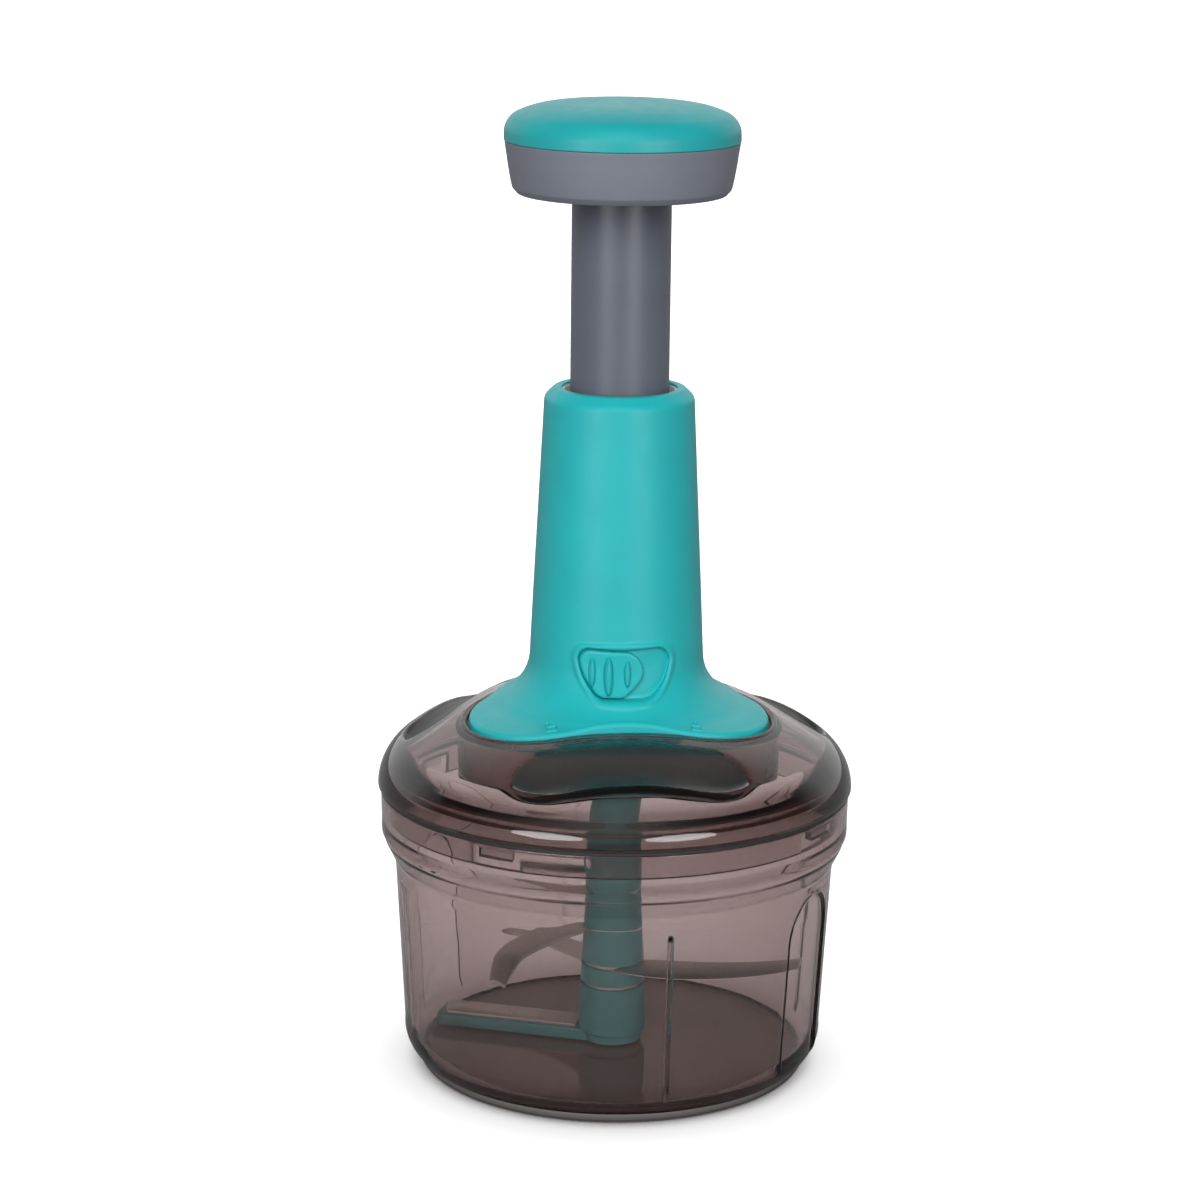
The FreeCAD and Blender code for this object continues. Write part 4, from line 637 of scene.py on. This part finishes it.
def lid_form():
    """The lid from the shaft's hole through the well, over the crown, round the skirt and back."""
    turns = np.arange(450) * 0.8
    hole = [(SHAFT_HOLE, 92.6), (SHAFT_HOLE, WELL_FLOOR, 0.3), (12.0, WELL_FLOOR)]
    rows = eased(hole)[1:]
    well = lobed(turns, WELL_GAP)
    flat, low = well - WELL_ROUND, WELL_FLOOR + WELL_ROUND
    rows += [(12.0 + (flat - 12.0) * share, WELL_FLOOR) for share in (0.3, 0.6, 0.85, 1.0)]
    rows += rounded(flat, low, WELL_ROUND, -75, 0, 6)
    rim = crown_height(lobed(turns, WELL_GAP + WALL / 2)) + 0.5
    rows += [(well, low + (rim - 1.1 - low) * share) for share in (0.25, 0.6, 0.85, 1.0)]
    for turn in np.radians(np.linspace(165, 15, 11)):
        side = lobed(turns, WELL_GAP + RIM_ROUND + RIM_ROUND * math.cos(turn))
        rows.append((side, rim - RIM_ROUND + RIM_ROUND * math.sin(turn)))
    foot = lobed(turns, WELL_GAP + 2 * RIM_ROUND + 0.05)
    rows.append((foot, crown_height(foot) + 0.12))
    start = lobed(turns, WELL_GAP + 2 * RIM_ROUND + 0.45)
    for share in np.linspace(0, 1, 46):
        radius = start + (EDGE_START - start) * share
        rows.append((radius, crown_top(turns, radius)))
    rows += arc((EDGE_START, float(crown_height(EDGE_START))), LID_EDGE, -EDGE_ARC, 16)
    under = [LID_EDGE, (72.45, 88.2, 0.25), (SKIRT_OUT, 88.2, 0.3), (SKIRT_OUT, 86.4)]
    rows += eased(under, steps=3)[1:]
    sides = [edge + step for edge in (TRACK_TOP, TRACK_LOW) for step in (0.12, -0.12)]
    rows += [(SKIRT_OUT, height) for height in (*sides[:2], 83.4, *sides[2:], 79.9)]
    foot = [(SKIRT_OUT, 79.6), (SKIRT_OUT, SKIRT_FOOT, 0.4)]
    foot += [(SKIRT_IN, SKIRT_FOOT, 0.4), (SKIRT_IN, 79.6)]
    rows += eased(foot)[1:-1]
    rows += [(SKIRT_IN, height) for height in (80.4, 84.0, 88.0)]
    corner = [
        (SKIRT_IN, 89.6), (SKIRT_IN, 90.4, 0.6), (64.3, 91.2, 1.0), (65.6, 94.6, 2.0), (65.3, 98.3),
    ]
    rows += eased(corner)[1:]
    back = lobed(turns, WELL_GAP + WALL)
    for share in np.linspace(0.04, 0.97, 34):
        radius = 64.4 + (back - 64.4) * share
        rows.append((radius, crown_top(turns, radius, CROWN_WALL, 2.2)))
    top, low = crown_height(back, CROWN_WALL), WELL_UNDER + UNDER_ROUND
    rows += [(back, top + (low - top) * share) for share in (0.06, 0.4, 0.75, 1.0)]
    flat = back - UNDER_ROUND
    rows += rounded(flat, low, UNDER_ROUND, -18, -90, 5)
    flat = flat - 0.4
    rows += [(flat + (9.0 - flat) * share, WELL_UNDER) for share in (0.2, 0.6, 1.0)]
    hole = [(9.0, WELL_UNDER), (SHAFT_HOLE, WELL_UNDER, 0.3), (SHAFT_HOLE, 92.9)]
    rows += eased(hole)[1:-1]
    radius, height = filled(rows, turns)
    return lattice(around(turns, cut_tracks(turns, radius, height), height))


def mark_satin_and_shade(piece):
    """Float attribute that is 1 on the scoops' textured faces and 0 elsewhere; it sets their rough
    finish and their painted dark teal shade.
    """
    places = np.empty(len(piece.data.vertices) * 3)
    piece.data.vertices.foreach_get("co", places)
    places = places.reshape(-1, 3) / MM
    turns = np.degrees(np.arctan2(places[:, 1], places[:, 0]))
    radius = np.hypot(places[:, 0], places[:, 1])
    sink = scoop_sink(turns, radius, 0.0)
    on_face = smooth(1.5 - np.abs(places[:, 2] - crown_height(radius) + sink) / 0.5)
    below = smooth(sink / 0.5)
    satin = piece.data.attributes.new("satin", "FLOAT", "POINT")
    satin.data.foreach_set("value", on_face * below)


mark_satin_and_shade(dressed("lid_shell", lid_form(), "lid_unit", "smoke_plastic", "lid"))

# ---- housing

FLARE_TOP, FLARE_FOOT = (26.4, 128.5), (35.4, 115.9)
SADDLE, FLANGE_END = (41.0, 113.7), (52.0, 110.1)
MOUTH_SHOULDER, MOUTH_EDGE = (22.5, 208.0), (19.6, 210.8)
FLANGE_UNDER, EDGE_ROUND, FLARE_BASE = 107.42, 1.5, 34.3
HOUSING_BORE, HOUSING_STEP, COLLAR_LOW = 17.25, 19.3, 163.2
POCKET = [
    (0.0, 135.9), (-10.3, 136.3), (-13.35, 132.4, 3.6), (-9.8, 124.0, 17.0), (-6.0, 121.0, 5.5),
    (6.2, 121.0), (9.6, 122.6, 6.0), (13.6, 130.6, 13.0), (10.4, 136.4, 4.4),
]
POCKET_MIDDLE, POCKET_FLOOR = (0.4, 128.4), 25.02
PATCH_TURNS, PATCH_HEIGHTS = (-132.0, -46.0), (117.6, 140.6)
# points down the housing's outside, from its shoulder to past its widest lobe
FLANK = spread(MOUTH_SHOULDER, (25.62, 145.0), 12)[1:]
FLANK += spread((25.68, 143.6), (26.35, 129.4), 28) + [FLARE_TOP]
FLANK += arc(FLARE_TOP, FLARE_FOOT, 15.0, 20)
FLANK += arc(FLARE_FOOT, SADDLE, 12.0, 8) + arc(SADDLE, FLANGE_END, -CROWN_ARC, 8)
FLANK = np.array(FLANK)


def flank_radius(height):
    """Radius of the housing's outside at a height."""
    return np.interp(height, FLANK[::-1, 1], FLANK[::-1, 0])


def flank_height(radius):
    """Height of the housing's outside at a radius, from the flare outwards."""
    outer = FLANK[FLANK[:, 0] > 26.3]
    return np.interp(radius, outer[:, 0], outer[:, 1])


def with_arcs(corners, steps=6):
    """Closed outline of (across, up) corners, where a third value is the arc that leads there."""
    points = []
    for index, corner in enumerate(corners):
        before = corners[index - 1][:2]
        points += arc(before, corner[:2], corner[2], steps) if len(corner) == 3 else [corner[:2]]
    return np.array(points)


def reach(outline_points, middle, direction):
    """Distance from a middle to a closed outline along a direction."""
    start = outline_points - np.array(middle)
    step = np.roll(start, -1, axis=0) - start
    cross = direction[0] * step[:, 1] - direction[1] * step[:, 0]
    cross = np.where(np.abs(cross) < 1e-12, 1e-12, cross)
    far = (start[:, 0] * step[:, 1] - start[:, 1] * step[:, 0]) / cross
    share = (start[:, 0] * direction[1] - start[:, 1] * direction[0]) / cross
    hits = far[(share >= -1e-9) & (share <= 1 + 1e-9) & (far > 0)]
    return float(hits.min())


def outlines(shape, middle, ways, steps):
    """For each step of (grow, value), the shape's outline grown along the ways, and the value."""
    edges = [reach(shape, middle, way) for way in ways]
    for grow, value in steps:
        yield [middle + np.array(way) * (edge + grow) for way, edge in zip(ways, edges)], value


def on_flank(across, up, raised=0.0):
    """Point of the housing's outside, seen from the front at (across, up), raised outwards."""
    return on_ring(across, up, flank_radius(up) + raised)


def on_ring(across, up, radius):
    """Point on the front half of a cylinder."""
    return np.array([across, -math.sqrt(radius ** 2 - across ** 2), up])


LIP_STEPS = (
    (2.5, 0.0), (2.15, 0.10), (1.8, 0.36), (1.4, 0.60), (1.0, 0.66), (0.55, 0.56), (0.2, 0.34),
    (0.0, -0.05),
)
WALL_STEPS = ((0.0, 0.5), (-0.03, 0.85), (-0.12, 0.97), (-0.4, 1.0), (-1.2, 1.0), (-3.0, 1.0))


def pocket_patch(border):
    """Rings from the grid's border over the raised lip, down the pocket's wall and on its floor."""
    offsets = [np.array([point[0], point[2]]) - POCKET_MIDDLE for point in border]
    ways = [offset / np.linalg.norm(offset) for offset in offsets]
    lip = outlines(with_arcs(POCKET), POCKET_MIDDLE, ways, LIP_STEPS)
    rings = [[on_flank(*place, rise) for place in places] for places, rise in lip]
    for places, share in outlines(with_arcs(POCKET), POCKET_MIDDLE, ways, WALL_STEPS):
        ring = []
        for across, up in places:
            top = flank_radius(up) - 0.08
            ring.append(on_ring(across, up, top + (POCKET_FLOOR - top) * share))
        rings.append(ring)
    lead = []
    for share in (0.3, 0.55, 0.8):
        steps = [start + (end - start) * share for start, end in zip(border, rings[0])]
        lead.append([on_flank(point[0], point[2]) for point in steps])
    centre = [on_ring(*POCKET_MIDDLE, POCKET_FLOOR)] * len(border)
    return np.array([border] + lead + rings + [centre])


def housing_form():
    """The housing, whose grid leaves out a window that the slider's pocket fills."""
    even = np.arange(360) - 180.0
    dense = np.arange(PATCH_TURNS[0], PATCH_TURNS[1] + 0.01, 0.8)
    outside = even[(even < PATCH_TURNS[0] - 0.5) | (even > PATCH_TURNS[1] + 0.5)]
    turns = np.sort(np.concatenate([outside, dense]))
    edge = lobed(turns, 0.0)
    rim = edge - EDGE_ROUND
    mouth = [
        (HOUSING_BORE, 196.0), (HOUSING_BORE, 206.0), (HOUSING_BORE, 210.8, 0.35),
        (*MOUTH_EDGE, 1.5), (*MOUTH_SHOULDER, 3.0), (22.9, 200.0),
    ]
    rows = eased(mouth, steps=8)[:-1]
    heights = [height for height in FLANK[:, 1] if 116.4 < height < 204.0] + list(PATCH_HEIGHTS)
    for height in sorted(set(np.round(heights, 4)), reverse=True):
        if flank_radius(height) < FLARE_BASE:
            rows.append((float(flank_radius(height)), height))
    start = rows[-1][0]
    for share in np.linspace(0, 1, 22)[1:]:
        radius = start + (rim - start) * share
        rows.append((radius, flank_height(radius)))
    rows += rounded(rim, flank_height(rim) - EDGE_ROUND, EDGE_ROUND, 78, 0, 8)
    rows += [
        (edge, FLANGE_UNDER + 0.4), (edge - 0.12, FLANGE_UNDER + 0.12), (edge - 0.4, FLANGE_UNDER),
        (31.0, FLANGE_UNDER), (30.4, 108.6), (24.9, 122.0), (24.1, 128.5), (22.9, 150.0),
        (20.4, 203.8), (HOUSING_STEP, 204.0), (HOUSING_STEP, COLLAR_LOW),
        (HOUSING_BORE, COLLAR_LOW),
    ]
    radius, height = filled(rows, turns)
    grid = around(turns, radius, height)
    level = [index for index, row in enumerate(height) if np.ptp(row) < 1e-6]
    last, first = (
        level[int(np.argmin(np.abs(height[level, 0] - place)))] for place in PATCH_HEIGHTS
    )
    left, right = (int(np.argmin(np.abs(turns - side))) for side in PATCH_TURNS)
    points, faces = lattice(grid)
    kept = []
    for face in faces:
        row, column = divmod(face[0], len(turns))
        if not (first <= row < last and left <= column < right):
            kept.append(face)
    window = [(first, column) for column in range(left, right)]
    window += [(row, right) for row in range(first, last)]
    window += [(last, column) for column in range(right, left, -1)]
    window += [(row, left) for row in range(last, first, -1)]
    border = [grid[place] for place in window]
    return joined((points, kept), lattice(pocket_patch(border), wrap_rows=False))


housing = dressed("housing_shell", housing_form(), "lid_unit", "teal_plastic", "handle_housing")
skin = BVHTree.FromPolygons(
    [point.co for point in housing.data.vertices],
    [face.vertices for face in housing.data.polygons],
)

MARK_WIDTH, MARK_RISE, MARK_ABOVE = 0.5, 0.42, 125.0
MARK_SECTION = ((-0.5, -0.5), (-0.5, 0.4), (-0.3, 1.0), (0.3, 1.0), (0.5, 0.4), (0.5, -0.5))


def stroke(path, closed=False):
    """Raised line on the flange along points in plan."""
    rings = []
    count = len(path)
    for index, here in enumerate(path):
        before = path[index - 1] if closed or index else here
        after = path[(index + 1) % count] if closed or index < count - 1 else here
        along = (after - before).normalized()
        side = Vector((-along.y, along.x))
        ring = []
        for offset, rise in MARK_SECTION:
            spot = here + side * offset * MARK_WIDTH
            above = (spot.x * MM, spot.y * MM, MARK_ABOVE * MM)
            under = skin.ray_cast(above, (0.0, 0.0, -1.0))[0]
            ring.append((spot.x, spot.y, under.z / MM + rise * MARK_RISE))
        rings.append(ring)
    rings = np.array(rings)
    return lattice(rings) if closed else capped_loft(rings)


def padlock(centre, shut):
    """Plain padlock mark: a box and a bow, the bow swung aside where it is open."""
    half, deep, bow = 1.35, 2.7, 0.85
    body = [(-half, -deep), (half, -deep), (half, 0.0), (-half, 0.0)]
    aside = 0.0 if shut else -1.2
    arch = [(-bow + aside, 0.2)]
    for turn in np.linspace(0, math.pi, 9):
        arch.append((-bow * math.cos(turn) + aside, 1.2 + 1.3 * math.sin(turn)))
    arch.append((bow + aside, 0.2 if shut else 0.8))
    body, arch = ([Vector(centre) + Vector(point) for point in path] for path in (body, arch))
    return joined(stroke(body, closed=True), stroke(arch))


for mark, centre in (("open_mark", (-21.8, -31.8)), ("shut_mark", (21.2, -32.6))):
    form = padlock(centre, shut=mark == "shut_mark")
    dressed(mark, form, "lid_unit", "teal_plastic", sharp=40.0)

# ---- lock slider

BUTTON = [
    (-10.2, 135.8), (-12.95, 132.4, 3.3), (-9.45, 124.3, 16.6), (-5.9, 121.4, 5.2), (-1.2, 121.4),
    (1.0, 122.3, 3.4), (5.0, 126.6, 30.0), (5.1, 132.2, 5.2), (1.3, 135.4, 6.0),
]
BUTTON_MIDDLE = (-3.6, 128.6)
BUTTON_BACK, BUTTON_FACE = 25.35, 27.0
BUTTON_STEPS = (
    (0.0, 0.0), (0.0, 0.3), (0.0, 0.6), (-0.08, 0.82), (-0.25, 0.95), (-0.55, 1.0), (-1.1, 1.0),
    (-2.2, 0.97), (-4.0, 0.93),
)
BUTTON_RIBS = (
    (-110.5, 125.0, 133.9, 1.5, 1.1), (-99.9, 122.2, 134.3, 2.1, 1.5),
    (-87.8, 124.9, 133.2, 1.5, 1.1),
)


def button_form():
    """Button whose outline is drawn in towards its eased and slightly hollow face."""
    ways = [swung(1.0, 0.0, turn) for turn in np.arange(120) * FULL_TURN / 120]
    rings = [[on_ring(*BUTTON_MIDDLE, BUTTON_BACK)] * len(ways)]
    for places, rise in outlines(with_arcs(BUTTON), BUTTON_MIDDLE, ways, BUTTON_STEPS):
        radius = BUTTON_BACK + (BUTTON_FACE - BUTTON_BACK) * rise
        rings.append([on_ring(*place, radius) for place in places])
    rings.append([on_ring(*BUTTON_MIDDLE, radius)] * len(ways))
    return lattice(np.array(rings), wrap_rows=False)


def button_rib(turn, low, top, rise, half):
    """Slim raised oval on the button's face."""
    across, up = BUTTON_FACE * math.sin(math.radians(turn - FRONT)), (low + top) / 2
    straight = (top - low) / 2 - half
    rings = []
    for share in (0.0, 0.3, 0.55, 0.75, 0.9, 0.99):
        size = half * math.sqrt(1 - share ** 2)
        radius = BUTTON_FACE - 0.35 + (rise + 0.35) * share
        ring = []
        for angle in np.arange(32) * FULL_TURN / 32:
            aside, above = size * math.cos(angle), (straight + size) * math.sin(angle)
            ring.append(on_ring(across + aside, up + above, radius))
        rings.append(ring)
    return capped_loft(rings)


button = joined(button_form(), *(button_rib(*rib) for rib in BUTTON_RIBS))
dressed("slider_button", button, "lock", "teal_slider", "lock_slider", sharp=60.0)

# ---- knob and tube

CUP_BORE, CAP_TOP, CAP_FOOT = 15.0, 295.4, 284.02
CAP_SHOULDER, CAP_SIDE = 31.6, 34.95
cup_outline = [(CUP_BORE, 268.55)] + spread((22.0, 268.55), (28.0, 268.5), 3)
cup_outline += eased([(29.5, 268.4), (30.9, 268.4, 1.2), (32.45, 270.2, 1.6), (33.0, 272.6)])[1:-1]
cup_outline += spread((33.0, 272.6), (34.0, 278.4), 4) + spread((34.13, 279.6), (34.7, 283.2), 4)
cup_outline += eased([(34.74, 283.5), (34.75, 283.9, 0.12), (34.1, 283.95, 0.1), (34.0, 283.0)])[1:]
cup_outline += [(32.4, 283.0), (32.0, 279.0), (31.0, 271.6), (CUP_BORE, 271.4)]
dressed("knob_skirt", turned_form(cup_outline), "plunger", "grey_plastic", "knob_cup")

cap_outline = [(0.0, CAP_TOP)]
for radius in np.linspace(2.0, CAP_SHOULDER, 24):
    cap_outline.append((radius, CAP_TOP - (radius / CAP_SHOULDER) ** 4.6 * 3.4))
cap_outline += arc((CAP_SHOULDER, 292.0), (CAP_SIDE, 286.2), -6.5, 12)
cap_outline += eased([
    (CAP_SIDE, 286.0), (CAP_SIDE, CAP_FOOT, 0.25), (34.3, CAP_FOOT, 0.1), (34.3, 284.8),
    (31.6, 284.8), (31.6, 280.0), (29.2, 280.0), (29.2, 288.0), (20.0, 292.4), (0.0, 292.8),
])[1:]
dome = turned_form(cap_outline, closed=False)
# the cap's darker teal is painted shade on the same teal plastic as the housing
dressed("knob_dome", dome, "plunger", "teal_plastic", "knob_cap", material="cap_teal")

# ---- blades

BLADE_THICK, GROUND, BEND_START = 1.2, 2.6, 47.0
HUB_BORE, HUB_OUT = 6.25, 8.8
BLADES = (
    ("upper_blade", 43.0, -128.0, 0.35), ("middle_blade", 30.0, -5.0, 0.0),
    ("lower_blade", 23.4, 122.0, 0.0),
)


def blade_form(bottom, azimuth, droop):
    """Sickle blade: a hub ring and a wing, ground thin along its bowed edge, bent by droop."""
    lower = [(-1.5, -8.2)] + arc((-1.5, -8.2), (22.0, -16.3), 38.0, 12)
    lower += arc((22.0, -16.3), (57.4, -5.8), 62.0, 22)
    upper = spread((7.5, -1.5), (25.0, -3.2), 14)
    upper += arc((25.0, -3.2), (59.0, 1.0), 85.0, len(lower) - len(upper))
    turn = math.radians(azimuth)
    rings = []
    for cut, back in zip(lower, upper):
        cut, back = Vector(cut), Vector(back)
        width = (back - cut).length
        along = (back - cut) / width
        ground = cut + along * min(GROUND, 0.7 * width)
        section = [
            (cut, 0.0), (back, 0.0), (back, BLADE_THICK), (ground, BLADE_THICK),
            (cut + along * 0.05, 0.14),
        ]
        ring = []
        for point, rise in section:
            drop = droop * max(point.x - BEND_START, 0.0)
            ring.append((*swung(*point, turn), bottom + rise - drop))
        rings.append(ring)
    low, top = bottom + 0.02, bottom + BLADE_THICK - 0.02
    hub = [(HUB_BORE, low, 0.1), (HUB_OUT, low, 0.1), (HUB_OUT, top, 0.1), (HUB_BORE, top, 0.1)]
    return joined(capped_loft(rings), turned_form(eased(hub), columns=96))


for node, bottom, azimuth, droop in BLADES:
    form = blade_form(bottom, azimuth, droop)
    dressed(f"sickle_{node}", form, "blade_unit", "blade_steel", node, sharp=30.0)

ARM_TURN = math.radians(160.0)


def bar_form(start, end, half, bottom, top, slant, ease):
    """Flat bar along the arm's azimuth with eased edges; slant draws one end corner back."""
    corners = [(start, -half), (end, -half, 1.8), (end - slant, half, 1.8), (start, half)]
    plan = np.array(eased(corners, steps=6))
    middle = np.mean(plan, axis=0)
    rings = []
    for inset, height in (
        (ease, bottom), (0.0, bottom + ease), (0.0, top - ease), (ease * 0.3, top - ease * 0.3),
        (ease, top),
    ):
        ring = []
        for point in plan:
            offset = point - middle
            moved = middle + offset * (1 - inset / max(np.linalg.norm(offset), 1.0))
            ring.append((*swung(*moved, ARM_TURN), height))
        rings.append(ring)
    return capped_loft(rings)


arm_hub = eased([
    (5.3, 5.4, 0.1), (9.0, 5.4, 0.4), (9.0, 8.5, 0.2), (10.3, 8.5, 0.3), (10.3, 12.35, 0.2),
    (HUB_BORE, 12.35, 0.1), (HUB_BORE, 8.85), (5.3, 8.8),
])
arm = bar_form(6.3, 56.2, 6.5, 5.4, 8.8, 0.0, 0.3)
arm = joined(turned_form(arm_hub, columns=144), arm)
dressed("floor_arm", arm, "blade_unit", "stem_teal", "scraper_arm", sharp=35.0)
strip = bar_form(10.6, 56.0, 5.0, 8.82, 9.8, 3.0, 0.12)
dressed("floor_blade", strip, "blade_unit", "blade_steel", "bottom_blade", sharp=35.0)

# ---- return spring

SPRING_RADIUS, SPRING_WIRE, SPRING_TURNS, END_COILS = 9.2, 0.65, 11, 1.6
SPRING_LOW, SPRING_HIGH = 168.7, 270.9


def spring_form():
    """Compression spring with closed coils at each end."""
    share = np.linspace(0, 1, SPRING_TURNS * 36 + 1)
    closed = END_COILS / SPRING_TURNS
    lift = END_COILS * 2 * SPRING_WIRE
    low, high = SPRING_LOW + SPRING_WIRE, SPRING_HIGH - SPRING_WIRE
    heights = np.interp(share, [0, closed, 1 - closed, 1], [low, low + lift, high - lift, high])
    rings = []
    for angle, height in zip(share * FULL_TURN * SPRING_TURNS, heights):
        ring = []
        for side in np.arange(10) * FULL_TURN / 10:
            out = SPRING_RADIUS + SPRING_WIRE * math.cos(side)
            ring.append((*swung(out, 0.0, angle), height + SPRING_WIRE * math.sin(side)))
        rings.append(ring)
    return capped_loft(rings)


spring = dressed("coil_spring", spring_form(), "plunger", "spring_steel", "return_spring")
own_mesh(spring)

# ---- CAD pieces that stay

SLOT_OF = {part["node"]: part["material_slot"] for part in frame["record"]["subparts"]}
for name, node in frame["nodes"].items():
    if node.hide_render:
        continue
    for place in node.material_slots:
        place.material = MATERIALS["tray_plastic" if name == "base_plate" else SLOT_OF[name]]

# ---- room, light and camera

FLOOR_HALF, FLOOR_DROP = 14.0, 0.0002
FLOOR_PALE, FLOOR_THROUGH, FLOOR_DIM = 0.92, 0.66, 0.20
FLOOR_GLOW, ROOM_LIGHT = 0.06, 0.19
ROOM_WALL, ROOM_TOP, ROOM_DARK = 0.42, 0.85, 0.18
SHINE_LOW, SHINE_HIGH, SHINE_TIGHT = 0.12, 1.0, 5.0
BACKDROP_SIDE, BACKDROP_FULL = 0.10, 0.50
BACKDROP_TOP, BACKDROP_END = 0.62, 0.93
KEY_TURN, KEY_RISE = -98.0, 30.0


def towards(azimuth, elevation):
    """Way from the object's middle to an azimuth and elevation in degrees."""
    turn, rise = math.radians(azimuth), math.radians(elevation)
    return Vector((*swung(math.cos(rise), 0.0, turn), math.sin(rise)))


def by_ray(tree, otherwise, steps):
    """A level that depends on the kind of ray; the last step that fits wins."""
    path = add(tree, "ShaderNodeLightPath")
    level = otherwise
    for kind, value in steps:
        feeds = {0: path.outputs[f"Is {kind} Ray"], 2: level, 3: value}
        level = add(tree, "ShaderNodeMix", feeds, data_type="FLOAT").outputs[0]
    return level


def make_floor():
    """White sweep that glows a little where it is looked at, and throws little light back up."""
    mesh = bpy.data.meshes.new("studio_floor")
    near, far = -FLOOR_HALF, FLOOR_HALF
    corners = [(near, near, 0.0), (far, near, 0.0), (far, far, 0.0), (near, far, 0.0)]
    mesh.from_pydata(corners, [], [(0, 1, 2, 3)])
    floor = placed("studio_floor", mesh)
    floor.location.z = -FLOOR_DROP
    made, tree, shader = new_material(
        "studio_floor", Roughness=0.7, Specular_IOR_Level=0.0, Emission_Color=WHITE,
    )
    level = by_ray(tree, FLOOR_DIM, (("Transmission", FLOOR_THROUGH), ("Camera", FLOOR_PALE)))
    glow = by_ray(tree, 0.0, (("Transmission", FLOOR_GLOW), ("Camera", FLOOR_GLOW)))
    grey = add(tree, "ShaderNodeCombineColor", {0: level, 1: level, 2: level}).outputs["Color"]
    feed(tree, shader, Base_Color=grey, Emission_Strength=glow)
    mesh.materials.append(made)
    return floor


def make_world():
    """Room: white where looked at; through glass pale walls and a dark ceiling; a soft shine."""
    world = bpy.data.worlds.new("studio")
    world.use_nodes = True
    tree = world.node_tree
    way = add(tree, "ShaderNodeTexCoord").outputs["Generated"]
    split = add(tree, "ShaderNodeSeparateXYZ", {"Vector": way}).outputs
    wall = mapped(tree, split["Z"], ROOM_WALL, ROOM_TOP, 1.0, ROOM_DARK)
    feeds = {0: way, 1: towards(KEY_TURN, KEY_RISE)}
    facing = add(tree, "ShaderNodeVectorMath", feeds, operation="DOT_PRODUCT").outputs["Value"]
    tight = figured(tree, "POWER", figured(tree, "MAXIMUM", facing, 0.0), SHINE_TIGHT)
    shine = mapped(tree, tight, 0.0, 1.0, SHINE_LOW, SHINE_HIGH)
    sheet = mapped(tree, split["Y"], BACKDROP_SIDE, BACKDROP_FULL)
    below = mapped(tree, split["Z"], BACKDROP_TOP, BACKDROP_END, 1.0, 0.0)
    gloss = figured(tree, "MAXIMUM", shine, figured(tree, "MULTIPLY", sheet, below))
    level = by_ray(tree, ROOM_LIGHT, (("Glossy", gloss), ("Transmission", wall), ("Camera", 1.0)))
    background = tree.nodes["Background"]
    background.inputs["Color"].default_value = WHITE
    tree.links.new(level, background.inputs["Strength"])
    bpy.context.scene.world = world


def aimed(made, way, axis="Z"):
    """Turn a lamp's back, or a camera's front by axis -Z, to a way."""
    made.rotation_mode = "QUATERNION"
    made.rotation_quaternion = way.to_track_quat(axis, "Y")


def sun(name, azimuth, elevation, strength, width, only=None, never=None):
    """Broad lamp far away that no reflection shows, and that lights only or never one object."""
    lamp = bpy.data.lights.new(name, "SUN")
    lamp.energy = strength
    lamp.angle = math.radians(width)
    made = placed(name, lamp)
    aimed(made, towards(azimuth, elevation))
    made.visible_glossy = made.visible_transmission = False
    group = bpy.data.collections.new(name)
    group.objects.link(only or never)
    made.light_linking.receiver_collection = group
    if never:
        group.collection_objects[0].light_linking.link_state = "EXCLUDE"


KEY_MIDDLE, SOFTBOX_ASIDE, SOFTBOX_RISE = -95.0, 31.0, 6.0
SOFTBOX_AWAY, SOFTBOX_WIDTH, SOFTBOX_TALL, SOFTBOX_POWER = 1.6, 0.98, 0.34, 7.0


def softbox(name, azimuth):
    """Softbox that only shines in reflections."""
    lamp = bpy.data.lights.new(name, "AREA")
    lamp.shape = "ELLIPSE"
    lamp.size, lamp.size_y, lamp.energy = SOFTBOX_WIDTH, SOFTBOX_TALL, SOFTBOX_POWER
    made = placed(name, lamp)
    way = towards(azimuth, SOFTBOX_RISE)
    made.location = way * SOFTBOX_AWAY + Vector((0.0, 0.0, cad_high[2] / 2))
    aimed(made, way)
    made.visible_camera = made.visible_diffuse = made.visible_transmission = False


CAMERA_AWAY, CAMERA_HEIGHT = 1.023, 0.393
CAMERA_TURN, CAMERA_PITCH, CAMERA_ROLL = 5.0, 13.62, 0.71
FOCAL_PIXELS, PICTURE_PIXELS, AXIS_ASIDE_PIXELS = 3474.0, 1200.0, 17.0
SENSOR = 36.0


def make_camera():
    """Camera fitted to the photograph: a long lens from a little to the left."""
    lens = bpy.data.cameras.new("camera")
    lens.sensor_width = SENSOR
    lens.lens = FOCAL_PIXELS / PICTURE_PIXELS * SENSOR
    lens.shift_x = -AXIS_ASIDE_PIXELS / PICTURE_PIXELS
    lens.clip_end = 60.0
    made = placed("camera", lens)
    turn = math.radians(CAMERA_TURN)
    made.location = (-CAMERA_AWAY * math.sin(turn), -CAMERA_AWAY * math.cos(turn), CAMERA_HEIGHT)
    aimed(made, towards(90.0 - CAMERA_TURN, -CAMERA_PITCH), "-Z")
    roll = Quaternion((0.0, 0.0, 1.0), math.radians(CAMERA_ROLL))
    made.rotation_quaternion = made.rotation_quaternion @ roll
    bpy.context.scene.camera = made


studio_floor = make_floor()
make_world()
sun("key", KEY_TURN, KEY_RISE, strength=2.85, width=44.0, never=studio_floor)
sun("floor_light", 90.0, 88.0, strength=4.5, width=100.0, only=studio_floor)
sun("back_fill", 84.0, 8.0, strength=1.5, width=70.0, never=studio_floor)
for side in (-1, 1):
    softbox(f"softbox_{side}", KEY_MIDDLE + side * SOFTBOX_ASIDE)
make_camera()
bpy.context.scene.view_settings.view_transform = "Standard"
